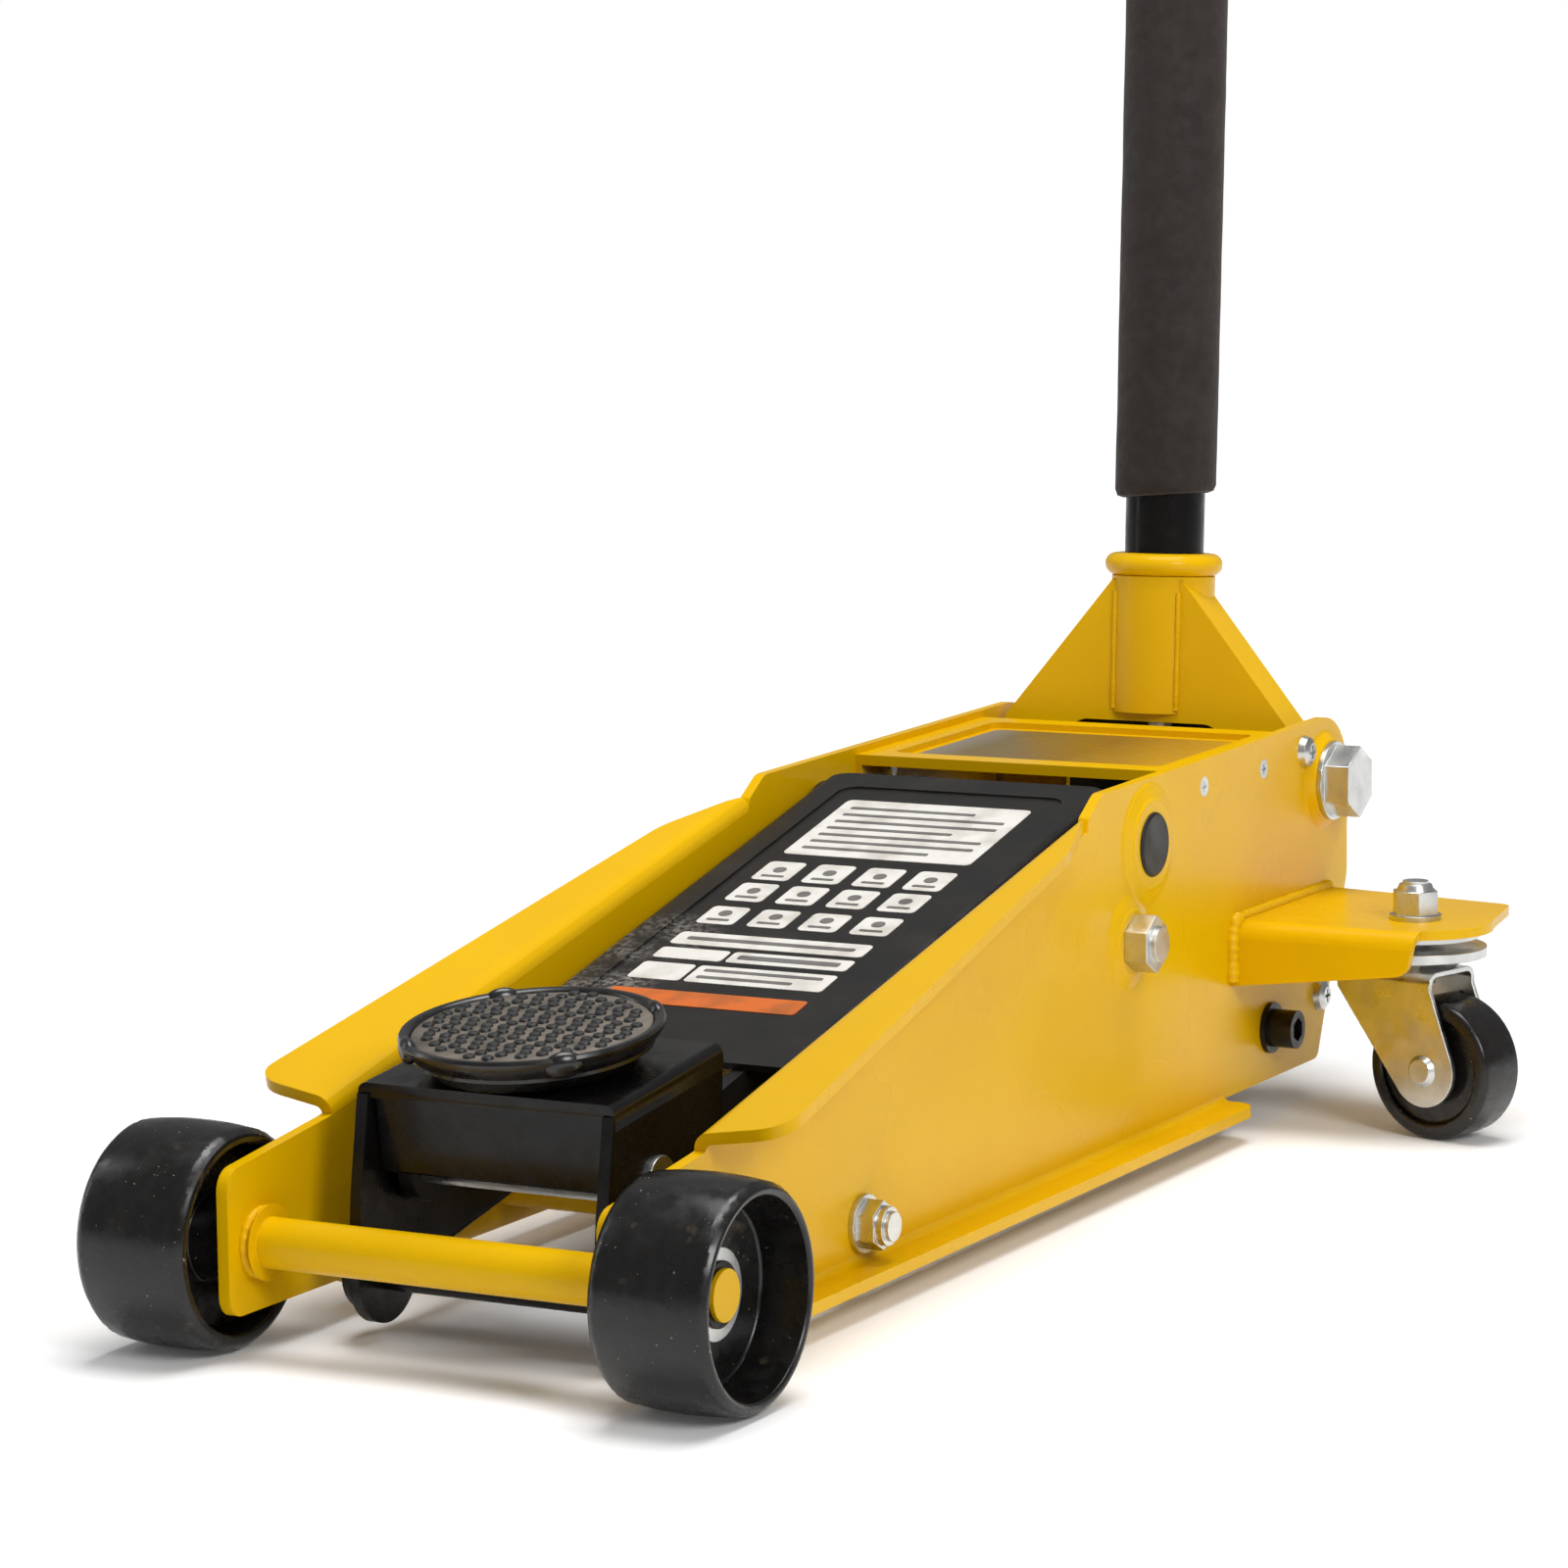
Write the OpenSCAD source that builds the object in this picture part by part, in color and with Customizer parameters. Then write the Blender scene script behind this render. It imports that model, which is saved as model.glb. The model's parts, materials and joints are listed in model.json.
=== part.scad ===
// Hydraulic trolley jack: steel chassis, lift arm with a level saddle, casters and a pump handle.
// Millimetres. X is the width, +Y runs from the front axle to the handle, +Z is up, the floor is z = 0.

/* [Chassis] */
// Half the width over the two side plates
plate_out = 86.5; // [80:0.5:100]
// Side plate thickness
plate_t = 5; // [4:0.5:6]
// Height of the side plates at the handle
chassis_h = 182.6; // [176:0.1:190]
// Distance from the front axle to the handle pivot
handle_y = 657.8; // [630:0.1:700]
// Width of the outward wing flange
wing_w = 34; // [24:1:40]
// Width of the outward bottom flange
foot_w = 17; // [10:1:24]

/* [Front wheels] */
// Wheel radius at its crown, which is also the axle height
wheel_r = 44.5; // [42:0.5:48]
// Wheel width
wheel_w = 50; // [40:1:60]
// Front axle radius
axle_r = 10; // [8:0.5:12]

/* [Lift arm] */
// Distance from the front axle to the arm pivot
pivot_y = 453; // [440:1:470]
// Height of the arm pivot
pivot_z = 148.4; // [144:0.1:152]
// Radius of the arm pivot shaft
pivot_r = 14.5; // [12:0.5:16]
// Distance from the front axle to the saddle bracket's pivot
nose_y = 65.5; // [60:0.5:80]
// Height of the saddle bracket's pivot when the arm is down
nose_z = 68.2; // [66:0.1:72]
// Width of the arm cover
cover_w = 142; // [136:1:148]
// Slope of the arm cover when the arm is down
cover_slope = 13.8; // [13:0.1:14.6]

/* [Saddle] */
// Saddle diameter
saddle_d = 104.4; // [90:0.2:120]
// Height of the saddle cup over its bracket
saddle_h = 17; // [14:0.5:22]
// Width of the saddle bracket
bracket_w = 115; // [113:1:116]
// Nose-down pitch of the saddle
saddle_pitch = 6.8; // [0:0.2:8]

/* [Casters] */
// Caster wheel radius
caster_r = 33; // [30:0.5:34]
// Caster wheel width
caster_w = 28; // [20:1:30]
// Trail of the caster wheel behind its kingpin
caster_trail = 17; // [12:1:20]
// Half the distance between the kingpins
caster_x = 161; // [155:1:175]
// Swivel angle of each caster, turned outwards and forwards
caster_turn = 14.5; // [0:0.5:30]

/* [Handle] */
// Outside radius of the lower handle tube
tube_r = 19.25; // [17:0.25:21]
// Backward lean of the handle at rest
lean = 3.5; // [0:0.5:5]
// Distance from the handle pivot to the top of the grip
handle_len = 955; // [800:5:1200]
// Radius of the foam sleeve
foam_r = 24.8; // [22:0.2:28]
// Length of the foam sleeve
foam_len = 420; // [200:5:440]

/* [Hydraulics] */
// Radius of the ram rod
ram_r = 16; // [12:0.5:18]
// Distance from the arm pivot to the ram pin
lever = 58; // [54:1:60]

/* [Hidden] */
$fn = 64;
run_clear = 0.08;       // radial clearance of a pin or shaft that turns in its bore
side_clear = 0.6;       // clearance beside a moving piece
bend_out = 8;           // outside radius of a bend in the plate
bend_in = bend_out - plate_t;
plate_in = plate_out - plate_t;
axle_z = wheel_r;

// side plate outline, as [y, z] places measured from the front axle and the floor
front_edge_y = -21;
plate_foot_z = 18;
nose_top_z = 75;
fold_y = 50;
fold_z = 92.4;
fold_end_y = 390;
fold_end_z = 169.7;
fold_slope = atan((fold_end_z - fold_z) / (fold_end_y - fold_y));
fold_len = norm([fold_end_y - fold_y, fold_end_z - fold_z]);
boss_r = 30;
handle_z = chassis_h - boss_r;
rear_y = handle_y + boss_r;
foot_z = 12;
foot_y0 = 72;
foot_y1 = handle_y - 119.8;
bearing_proud = 3;      // height of the pressed bosses on the plates

// leveling link pivot, below and in front of the arm pivot
link_dy = -20.5;
link_dz = -41.2;
link_r = 7;
link_bolt_r = 8;
rod_x = 58.3;           // inner face of a leveling rod
rod_t = 6;
rod_half = 11;
rod_end_r = 14;

// front tie bolt
tie_y = 176.7;
tie_z = 32.1;
tie_r = 6;
tie_tube_r = 8;

// cover over the power unit
lid_y0 = handle_y - 163.8;
lid_y1 = handle_y - 29.8;
lid_slope = 1.25;
lid_t = 3;
lid_top = chassis_h - 7;
lid_drop = 3;           // depth of the label recess
lid_border = 13;
lid_lip = 5;
lid_side = plate_in;
screw_ys = [lid_y0 + 22, lid_y1 - 43];
screw_z = 166.5;
screw_r = 4.7;

// cross bars at the rear
stop_r = 5;
stop_dy = -24.4;        // from the handle pivot
stop_z = 169;
rear_tie_y = handle_y - 5.3;
rear_tie_z = 48.5;
rear_tie_r = 7;
pan_r = 7.8;

// power unit
block_y0 = handle_y - 97.8;
block_y1 = handle_y - 41.8;
block_z0 = 26;
block_z1 = 142;
block_half = 71;
cap_y = handle_y - 66.1;
cap_z = 42.6;
cap_r = 6;
barrel_r = 30;
reservoir_r = 42;
reservoir_y0 = block_y0 - 44;
plunger_x = 58;
plunger_r = 8;
roller_w = 26;          // distance of the pump rollers below the handle pivot
roller_r = 11;
roller_gap = 0.4;
sleeve_len = 38;
plunger_in = 8;         // length of a plunger that stays in its sleeve at rest

// ram pin, worked from the lever below the arm pivot
lift_range = 56;
ram_y = pivot_y + lever * sin(lift_range / 2);
ram_z = pivot_z - lever * cos(lift_range / 2);
ram_pin_r = 10;
ram_roller_r = 15;
ram_gap = 0.6;
ram_head_t = 8;
ram_front = ram_y + ram_roller_r + ram_gap;     // face of the ram head
barrel_y0 = ram_front + ram_head_t + 4;
piston_t = 10;
piston_y = block_y1 - 32 - piston_t;

// lift arm
arm_x = 44;             // inner face of each arm plate
arm_t = 6;
arm_tip_r = 17;
arm_back_r = 24;
arm_tube_r = 20;
cover_t = 3;
cover_back = 2.8;       // rear edge of the cover in front of the arm pivot
cover_rise = 24.8;      // top of the cover's rear edge over the arm pivot
cover_len = 312;
skirt = 26;
nose_pin_r = 10;

// saddle bracket, in a frame on the middle of its top face
seat_y = nose_y + 5.7;
seat_z = nose_z + 39.2;
bracket_t = 5;
bracket_front = -38;
bracket_back = 46;
bracket_half = bracket_w / 2;
lobe_r = 21;
link_pin_r = 8;
stem_r = 12;

// casters
kingpin_y = handle_y - 69.8;
kingpin_r = 6;
caster_top = 100;
caster_plate_t = 4.5;
caster_front_y = kingpin_y - 42;
caster_end_r = 36;
race_r = 33;
fork_t = 2.5;
fork_gap = caster_w + 3;
rivet_r = 5;

// handle, measured along its own axis from the pivot
socket_r = 25.25;
socket_w0 = 29;
socket_w1 = 95.6;
ring_h = 11;
ring_r = 28.65;
web_y = -19;
back_drop = 14;         // how far the yoke's back plate reaches below the handle pivot
web_t = 4;
web_half = 75;
web_low = -10;
web_knee = 25;
web_top = 94;
web_top_half = 18.4;
flange_d = 25;
slot_half = 41;
pivot_bolt_r = 10;
tube_w0 = 42;
tube_w1 = 560;
upper_r = 16.5;
tube_wall = 2.6;
overlap = 60;
foam_w0 = 134.6;
grip_len = 135;
grip_r = 21;

// the origin stands under the middle of the whole jack
back_end = handle_y + handle_len * sin(lean) + grip_r * cos(lean);
y_shift = -(back_end - wheel_r) / 2;

// ---------- helpers ----------

// points of an arc about c
function arc(c, r, a0, a1, n = 6) = [for (i = [0:n])
    let (a = a0 + (a1 - a0) * i / n) c + r * [cos(a), sin(a)]];

function unit(v) = v / norm(v);

// an arc that rounds the corner p1 between p0 and p2
function corner(p0, p1, p2, r) = let (
    u = unit(p0 - p1),
    v = unit(p2 - p1),
    half = acos(u * v) / 2,
    c = p1 + unit(u + v) * r / sin(half),
    a = p1 + u * r / tan(half) - c,
    b = p1 + v * r / tan(half) - c,
    a0 = atan2(a[1], a[0]),
    turn = atan2(a[0] * b[1] - a[1] * b[0], a * b)
) arc(c, r, a0, a0 + turn);

// an outline of [x, y, corner radius] points, with its corners rounded
function rounded(p) = let (n = len(p)) [for (i = [0:n - 1])
    let (here = [p[i][0], p[i][1]],
        before = p[(i + n - 1) % n],
        after = p[(i + 1) % n])
    each p[i][2] > 0
        ? corner([before[0], before[1]], here, [after[0], after[1]], p[i][2])
        : [here]];

// the four points where a belt round two circles touches them
function belt(c1, r1, c2, r2) = let (
    d = norm(c2 - c1),
    a = atan2(c2[1] - c1[1], c2[0] - c1[0]),
    k = acos((r1 - r2) / d)
) [c1 + r1 * [cos(a + k), sin(a + k)], c2 + r2 * [cos(a + k), sin(a + k)],
    c2 + r2 * [cos(a - k), sin(a - k)], c1 + r1 * [cos(a - k), sin(a - k)]];

module jack() { translate([0, y_shift, 0]) children(); }

module both() {
    children();
    mirror([1, 0, 0]) children();
}

// a rod along X from x0 to x1
module rod_x(r, x0, x1, y, z) {
    translate([x0, y, z]) rotate([0, 90, 0]) cylinder(h = x1 - x0, r = r);
}

// a cone along X, r0 at x0 and r1 at x1
module cone_x(r0, r1, x0, x1, y, z) {
    translate([x0, y, z]) rotate([0, 90, 0]) cylinder(h = x1 - x0, r1 = r0, r2 = r1);
}

// a rod along Y from y0 to y1
module rod_y(r, y0, y1, x, z) {
    translate([x, y1, z]) rotate([90, 0, 0]) cylinder(h = y1 - y0, r = r);
}

// a hexagon along X, af across its flats
module hex_x(af, x0, x1, y, z) {
    translate([x0, y, z]) rotate([0, 90, 0])
        cylinder(h = x1 - x0, r = af / 2 / cos(30), $fn = 6);
}

// a plate that lies in the YZ plane, from x0 to x0 + t, with its outline as [y, z]
module plate_x(x0, t) {
    translate([x0, 0, 0]) rotate([90, 0, 90]) linear_extrude(t) children();
}

// a plate in the XZ plane, from y0 to y0 + t, with its outline as [x, z]
module plate_y(y0, t) {
    translate([0, y0 + t, 0]) rotate([90, 0, 0]) linear_extrude(t) children();
}

module link_shape(c1, r1, c2, r2) {
    polygon(belt(c1, r1, c2, r2));
    translate(c1) circle(r1);
    translate(c2) circle(r2);
}

// ---------- chassis ----------

// a pressed boss on the outside of the right plate, with a rounded foot and a rounded rim
module boss(foot, rim, h, y, z) {
    r = h / 2;
    translate([plate_out, y, z]) rotate([0, 90, 0]) rotate_extrude() polygon(concat(
        [[0, 0], [foot, 0]],
        arc([foot, r], r, -90, -150, 4),
        arc([rim - r, h - r], r, 30, 90, 4), [[0, h]]));
}

// an outward bend: the plate below or above it, then a flange w wide; the bend lies on n = 0
// a leg of the side plate bent outward to the width w, its free edge raised
module bend_section(w, rise = 0) {
    leg = 24;
    polygon(concat([[plate_in, -leg]], arc([plate_in + bend_out, -bend_out], bend_out, 180, 90),
        [[plate_out + w, rise], [plate_out + w, rise - plate_t]],
        arc([plate_in + bend_out, -bend_out], bend_in, 90, 180), [[plate_out, -leg]]));
}

module wing() {
    corner_r = 14;
    back_r = 60;
    slant = 4;
    back_w = 0.4 * wing_w;
    rise = 3.5;
    taper = fold_len - 48;
    translate([0, fold_y, fold_z]) rotate([fold_slope, 0, 0]) intersection() {
        translate([0, fold_len, 0]) rotate([90, 0, 0]) linear_extrude(fold_len)
            bend_section(wing_w, rise);
        translate([0, 0, -30]) linear_extrude(40) polygon(rounded([
            [plate_in - 1, 0, 0], [plate_out + 2, 0, 0],
            [plate_out + wing_w, slant, corner_r],
            [plate_out + back_w, taper, back_r],
            [plate_out - 2, fold_len, 0], [plate_in - 1, fold_len, 0]]));
    }
}

module foot_flange() {
    translate([0, 0, foot_z]) mirror([0, 0, 1]) intersection() {
        translate([0, foot_y1, 0]) rotate([90, 0, 0]) linear_extrude(foot_y1 - foot_y0)
            bend_section(foot_w);
        translate([0, 0, -30]) linear_extrude(31) polygon(rounded([
            [plate_in - 1, foot_y0, 0], [plate_out + foot_w, foot_y0, 12],
            [plate_out + foot_w, foot_y1, 10], [plate_in - 1, foot_y1, 0]]));
    }
}

module side_plate() {
    difference() {
        union() {
            plate_x(plate_in, plate_t) difference() {
                polygon(rounded([
                    [front_edge_y, plate_foot_z, 8], [front_edge_y, nose_top_z, 9],
                    [fold_y, fold_z - bend_out, 0], [fold_end_y, fold_end_z - bend_out, 0],
                    [fold_end_y + 2, fold_end_z - 2, 3],
                    [fold_end_y + 16, chassis_h - 6, 10], [handle_y, chassis_h, 0],
                    [rear_y, handle_z, 0], [rear_y, 104, 14],
                    [rear_y - 37, plate_foot_z, 6], [foot_y1, plate_foot_z, 0],
                    [foot_y1 - 4, foot_z + bend_out, 0],
                    [foot_y0 + 4, foot_z + bend_out, 0], [foot_y0, plate_foot_z, 0]]));
            }
            plate_x(plate_in, plate_t) translate([handle_y, handle_z]) circle(boss_r);
            wing();
            foot_flange();
            boss(28, 21, bearing_proud, pivot_y, pivot_z);
            boss(22, 15.5, bearing_proud, pivot_y + link_dy, pivot_z + link_dz);
            boss(24.3, 20.5, bearing_proud + 1, handle_y, handle_z);
        }
        rod_x(pivot_r, plate_in - 1, plate_out + 9, pivot_y, pivot_z);
        rod_x(link_bolt_r, plate_in - 1, plate_out + 9, pivot_y + link_dy, pivot_z + link_dz);
        rod_x(pivot_bolt_r, plate_in - 1, plate_out + 9, handle_y, handle_z);
        rod_x(axle_r, plate_in - 1, plate_out + 9, 0, axle_z);
        rod_x(tie_r, plate_in - 1, plate_out + 9, tie_y, tie_z);
        rod_x(cap_r, plate_in - 1, plate_out + 9, cap_y, cap_z);
        for (y = screw_ys) rod_x(screw_r - 1.7, plate_in - 1, plate_out + 9, y, screw_z);
        for (y = screw_ys) cone_x(screw_r - 1.7, screw_r, plate_out - 2.4, plate_out, y, screw_z);
        rod_x(stop_r - 2, plate_in - 1, plate_out + 9, handle_y + stop_dy, stop_z);
        // flat seats in the handle boss and the plate for the pan heads
        rod_x(pan_r + 0.3, plate_out, plate_out + 9, handle_y + stop_dy, stop_z);
        rod_x(pan_r + 0.3, plate_out, plate_out + 9, rear_tie_y, rear_tie_z);
        rod_x(rear_tie_r - 4, plate_in - 1, plate_out + 9, rear_tie_y, rear_tie_z);
    }
}
module side_plate_right() { color("gold") side_plate(); }
module side_plate_left() { color("gold") mirror([1, 0, 0]) side_plate(); }

washer_t = 2;
hub_in = plate_out + washer_t;      // inner face of a front wheel
hub_out = hub_in + 30;              // outer face of its hub
axle_end = hub_out + 5.5;

module front_axle() {
    color("gold") difference() {
        union() {
            rod_x(axle_r, -axle_end, axle_end, 0, axle_z);
            both() cone_x(axle_r + 5, axle_r, plate_in - 5, plate_in, 0, axle_z);
        }
        both() difference() {
            rod_x(axle_r + 1, hub_out + washer_t, hub_out + washer_t + 1.3, 0, axle_z);
            rod_x(axle_r - 1, hub_out + washer_t - 1, hub_out + washer_t + 2, 0, axle_z);
        }
    }
}

module axle_washers() {
    color("silver") both() for (x = [plate_out, hub_out]) difference() {
        rod_x(17.5, x + 0.05, x + washer_t - 0.05, 0, axle_z);
        rod_x(axle_r + run_clear, x - 1, x + washer_t + 1, 0, axle_z);
    }
}

module axle_rings() {
    color("dimgray") both() difference() {
        rod_x(axle_r + 2.6, hub_out + washer_t + 0.1, hub_out + washer_t + 1.2, 0, axle_z);
        rod_x(axle_r - 0.9, hub_out + washer_t - 1, hub_out + washer_t + 2, 0, axle_z);
    }
}

module front_wheel() {
    edge_r = wheel_r - 2;
    rim_t = 5.5;
    mid = wheel_w / 2;
    bulge = (mid * mid + 2 * 2) / (2 * 2);      // radius of the crowned tread
    half_turn = asin((mid - 3) / bulge);
    tread = [for (i = [-6:6]) let (a = half_turn * i / 6)
        [wheel_r - bulge + bulge * cos(a), mid + bulge * sin(a)]];
    translate([hub_in, 0, axle_z]) rotate([0, 90, 0]) rotate_extrude() polygon(concat(
        [[axle_r + run_clear, 0], [17, 0], [17, 15], [edge_r - rim_t - 2, 13],
            [edge_r - rim_t, 0.6], [edge_r - 2, 0]],
        tread,
        [[edge_r - 2, wheel_w], [edge_r - rim_t + 1, wheel_w - 0.6],
            [edge_r - rim_t - 2, 30], [17, 28], [17, 30 - 0.1], [axle_r + run_clear, 30 - 0.1]]));
}
module front_wheel_right() { color("dimgray") front_wheel(); }
module front_wheel_left() { color("dimgray") mirror([1, 0, 0]) front_wheel(); }

module front_tie_bolt() {
    color("silver") {
        rod_x(tie_r, -plate_out - 15, plate_out + 15, tie_y, tie_z);
        both() difference() {
            union() {
                rod_x(12, plate_out, plate_out + 2.5, tie_y, tie_z);
                hex_x(18, plate_out + 2.5, plate_out + 10, tie_y, tie_z);
                rod_x(8, plate_out + 10, plate_out + 13, tie_y, tie_z);
            }
            rod_x(tie_r, plate_out - 1, plate_out + 16, tie_y, tie_z);
        }
    }
}

module front_tie_tube() {
    color("gold") difference() {
        rod_x(tie_tube_r, -plate_in, plate_in, tie_y, tie_z);
        rod_x(tie_r + run_clear, -plate_out, plate_out, tie_y, tie_z);
    }
}

// the cover is drawn level at its front edge, then tilted with the plates' top edge
module top_cover() {
    len = lid_y1 - lid_y0;
    inner = lid_side - lid_border;
    side_drop = 20;
    color("gold") difference() {
        translate([0, lid_y0, lid_top]) rotate([lid_slope, 0, 0]) difference() {
            union() {
                translate([-lid_side, 0, -lid_t]) cube([2 * lid_side, len, lid_t]);
                translate([-inner - lid_t, lid_border - lid_t, -lid_t - lid_drop])
                    cube([2 * (inner + lid_t), len - 2 * lid_border + 2 * lid_t, lid_drop + 1]);
                translate([-lid_side, 0, -lid_lip]) cube([2 * lid_side, lid_t, lid_lip]);
                both() translate([lid_side - lid_t, 0, -side_drop]) cube([lid_t, len, side_drop]);
            }
            translate([-inner, lid_border, -lid_drop])
                linear_extrude(lid_drop + 1) polygon(rounded([[0, 0, 5], [2 * inner, 0, 5],
                    [2 * inner, len - 2 * lid_border, 5], [0, len - 2 * lid_border, 5]]));
        }
        both() for (y = screw_ys) rod_x(3, lid_side - lid_t - 1, lid_side + 1, y, screw_z);
    }
}

module cover_screws() {
    color("silver") both() for (y = screw_ys) difference() {
        union() {
            rod_x(3, lid_side - lid_t - 6, plate_out - 2.4, y, screw_z);
            cone_x(3, screw_r, plate_out - 2.4, plate_out, y, screw_z);
        }
        for (a = [0, 90]) translate([plate_out, y, screw_z]) rotate([a, 0, 0])
            cube([2, 4.4, 1], center = true);
    }
}

module stop_bar() {
    color("silver") rod_x(stop_r, -plate_in, plate_in, handle_y + stop_dy, stop_z);
}

module rear_tie_tube() {
    color("gold") rod_x(rear_tie_r, -plate_in, plate_in, rear_tie_y, rear_tie_z);
}

module pan_screw(y, z) {
    difference() {
        union() {
            rod_x(3, plate_in, plate_out + 1, y, z);
            cone_x(pan_r, pan_r - 1, plate_out, plate_out + 3, y, z);
            cone_x(pan_r - 1, pan_r - 3.5, plate_out + 3, plate_out + 4.6, y, z);
        }
        for (a = [0, 90]) translate([plate_out + 4.6, y, z]) rotate([a, 0, 0])
            cube([3, 6.4, 1.4], center = true);
    }
}
module rear_screws() {
    color("silver") both() {
        pan_screw(handle_y + stop_dy, stop_z);
        pan_screw(rear_tie_y, rear_tie_z);
    }
}

module caster_bracket() {
    lip_drop = 28;
    end_x = caster_x + caster_end_r;
    y1 = kingpin_y + 75;
    difference() {
        union() {
            translate([0, 0, caster_top - caster_plate_t]) linear_extrude(caster_plate_t)
                polygon(concat([[plate_out, caster_front_y + bend_out],
                    [caster_x, caster_front_y + bend_out]],
                    arc([caster_x, kingpin_y], caster_end_r, -80, 22, 10),
                    corner([end_x - 2, kingpin_y + 14], [caster_x + 25, y1 - 17],
                        [plate_out, y1], 7),
                    [[plate_out, y1]]));
            intersection() {
                plate_x(plate_out, caster_x + 24 - plate_out) translate([caster_front_y, 0])
                    polygon(concat([[0, caster_top - bend_out - lip_drop]],
                        arc([bend_out, caster_top - bend_out], bend_out, 180, 90),
                        [[bend_out + 1, caster_top],
                            [bend_out + 1, caster_top - caster_plate_t]],
                        arc([bend_out, caster_top - bend_out], bend_out - caster_plate_t, 90, 180),
                        [[caster_plate_t, caster_top - bend_out - lip_drop]]));
                plate_y(caster_front_y - 1, 20) polygon(rounded([[plate_out, 69.5, 0],
                    [caster_x + 12, 80, 8], [caster_x + 16, caster_top + 1, 0],
                    [plate_out, caster_top + 1, 0]]));
            }
        }
        translate([caster_x, kingpin_y, 0]) cylinder(h = 200, r = kingpin_r);
    }
}
module caster_bracket_right() { color("gold") caster_bracket(); }
module caster_bracket_left() { color("gold") mirror([1, 0, 0]) caster_bracket(); }

fork_top = caster_top - caster_plate_t - 17;       // top of the fork's crown
module caster_kingpins() {
    color("silver") both() translate([caster_x, kingpin_y, 0]) difference() {
        union() {
            translate([0, 0, fork_top - 8]) cylinder(h = 5, r = 9.5);
            translate([0, 0, fork_top - 8]) cylinder(h = caster_top + 26 - fork_top, r = kingpin_r);
            translate([0, 0, caster_top]) cylinder(h = 2.4, r = 12);
            translate([0, 0, caster_top + 2.4]) cylinder(h = 11, r = 11, $fn = 6);
            translate([0, 0, caster_top + 13]) cylinder(h = 3.5, r1 = 9, r2 = 7.5);
            translate([0, 0, caster_top - caster_plate_t - 5.4]) cylinder(h = 5.4, r = race_r - 3);
        }
        translate([0, 0, caster_top - caster_plate_t - 7]) difference() {
            cylinder(h = 4, r = race_r);
            cylinder(h = 9, r = 14);
        }
    }
}

// a fork bent from sheet: a channel section, cut to the outline of its cheeks
module caster_fork() {
    cheek_r = 17;
    bend = 6;
    half = fork_gap / 2 + fork_t;
    axle = [caster_trail, caster_r];
    front = [-29, fork_top - 9];
    back = [18, fork_top - 9];
    front_edge = belt(axle, cheek_r, front, 3);
    back_edge = belt(axle, cheek_r, back, 3);
    difference() {
        union() {
            intersection() {
                plate_x(-40, 90) polygon(concat([[half, 0]],
                    arc([half - bend, fork_top - bend], bend, 0, 90),
                    arc([-half + bend, fork_top - bend], bend, 90, 180),
                    [[-half, 0], [-half + fork_t, 0]],
                    arc([-half + bend, fork_top - bend], bend - fork_t, 180, 90),
                    arc([half - bend, fork_top - bend], bend - fork_t, 90, 0),
                    [[half - fork_t, 0]]));
                plate_y(-40, 80) union() {
                    polygon([front_edge[0], front_edge[1], [front[0] - 3, fork_top + 1],
                        [back[0] + 3, fork_top + 1], back_edge[2], back_edge[3], axle]);
                    translate(axle) circle(cheek_r);
                }
            }
            translate([0, 0, fork_top - 0.5]) cylinder(h = 5.5, r1 = 17, r2 = 28);
            translate([0, 0, fork_top + 5]) cylinder(h = 4.6, r = race_r);
        }
        translate([0, 0, fork_top - 9]) cylinder(h = 30, r = kingpin_r + run_clear);
        rod_y(rivet_r, -40, 40, caster_trail, caster_r);
    }
}

module caster_rivet() {
    head_x = fork_gap / 2 + fork_t;
    rod_y(rivet_r, -head_x, head_x, caster_trail, caster_r);
    for (s = [0, 1]) mirror([0, s, 0]) translate([caster_trail, head_x, caster_r])
        rotate([-90, 0, 0]) cylinder(h = 2.6, r1 = 7.6, r2 = 5.5);
}

module caster_wheel() {
    mid = caster_w / 2;
    translate([caster_trail, mid, caster_r]) rotate([90, 0, 0]) rotate_extrude() polygon(concat(
        [[rivet_r + run_clear, -1], [10, -1], [10, 3.5], [caster_r - 8, 3.5],
            [caster_r - 7, 0], [caster_r - 4, 0]],
        arc([caster_r - 4, 4], 4, -90, -20, 4),
        [[caster_r, mid - 1], [caster_r, mid + 1]],
        arc([caster_r - 4, caster_w - 4], 4, 20, 90, 4),
        [[caster_r - 7, caster_w], [caster_r - 8, caster_w - 3.5], [10, caster_w - 3.5],
            [10, caster_w + 1], [rivet_r + run_clear, caster_w + 1]]));
}

module at_kingpin() {
    translate([caster_x, kingpin_y, 0]) rotate([0, 0, -caster_turn]) children();
}
module caster_fork_right() { color("lightgray") at_kingpin() caster_fork(); }
module caster_fork_left() { color("lightgray") mirror([1, 0, 0]) at_kingpin() caster_fork(); }
module caster_rivet_right() { color("silver") at_kingpin() caster_rivet(); }
module caster_rivet_left() { color("silver") mirror([1, 0, 0]) at_kingpin() caster_rivet(); }
module caster_wheel_right() { color("dimgray") at_kingpin() caster_wheel(); }
module caster_wheel_left() { color("dimgray") mirror([1, 0, 0]) at_kingpin() caster_wheel(); }

module arm_pivot_shaft() {
    end = plate_out + bearing_proud + 1.5;
    chamfer = 1;
    color("dimgray") {
        rod_x(pivot_r, -end + chamfer, end - chamfer, pivot_y, pivot_z);
        both() cone_x(pivot_r, pivot_r - chamfer, end - chamfer, end, pivot_y, pivot_z);
    }
}

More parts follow.
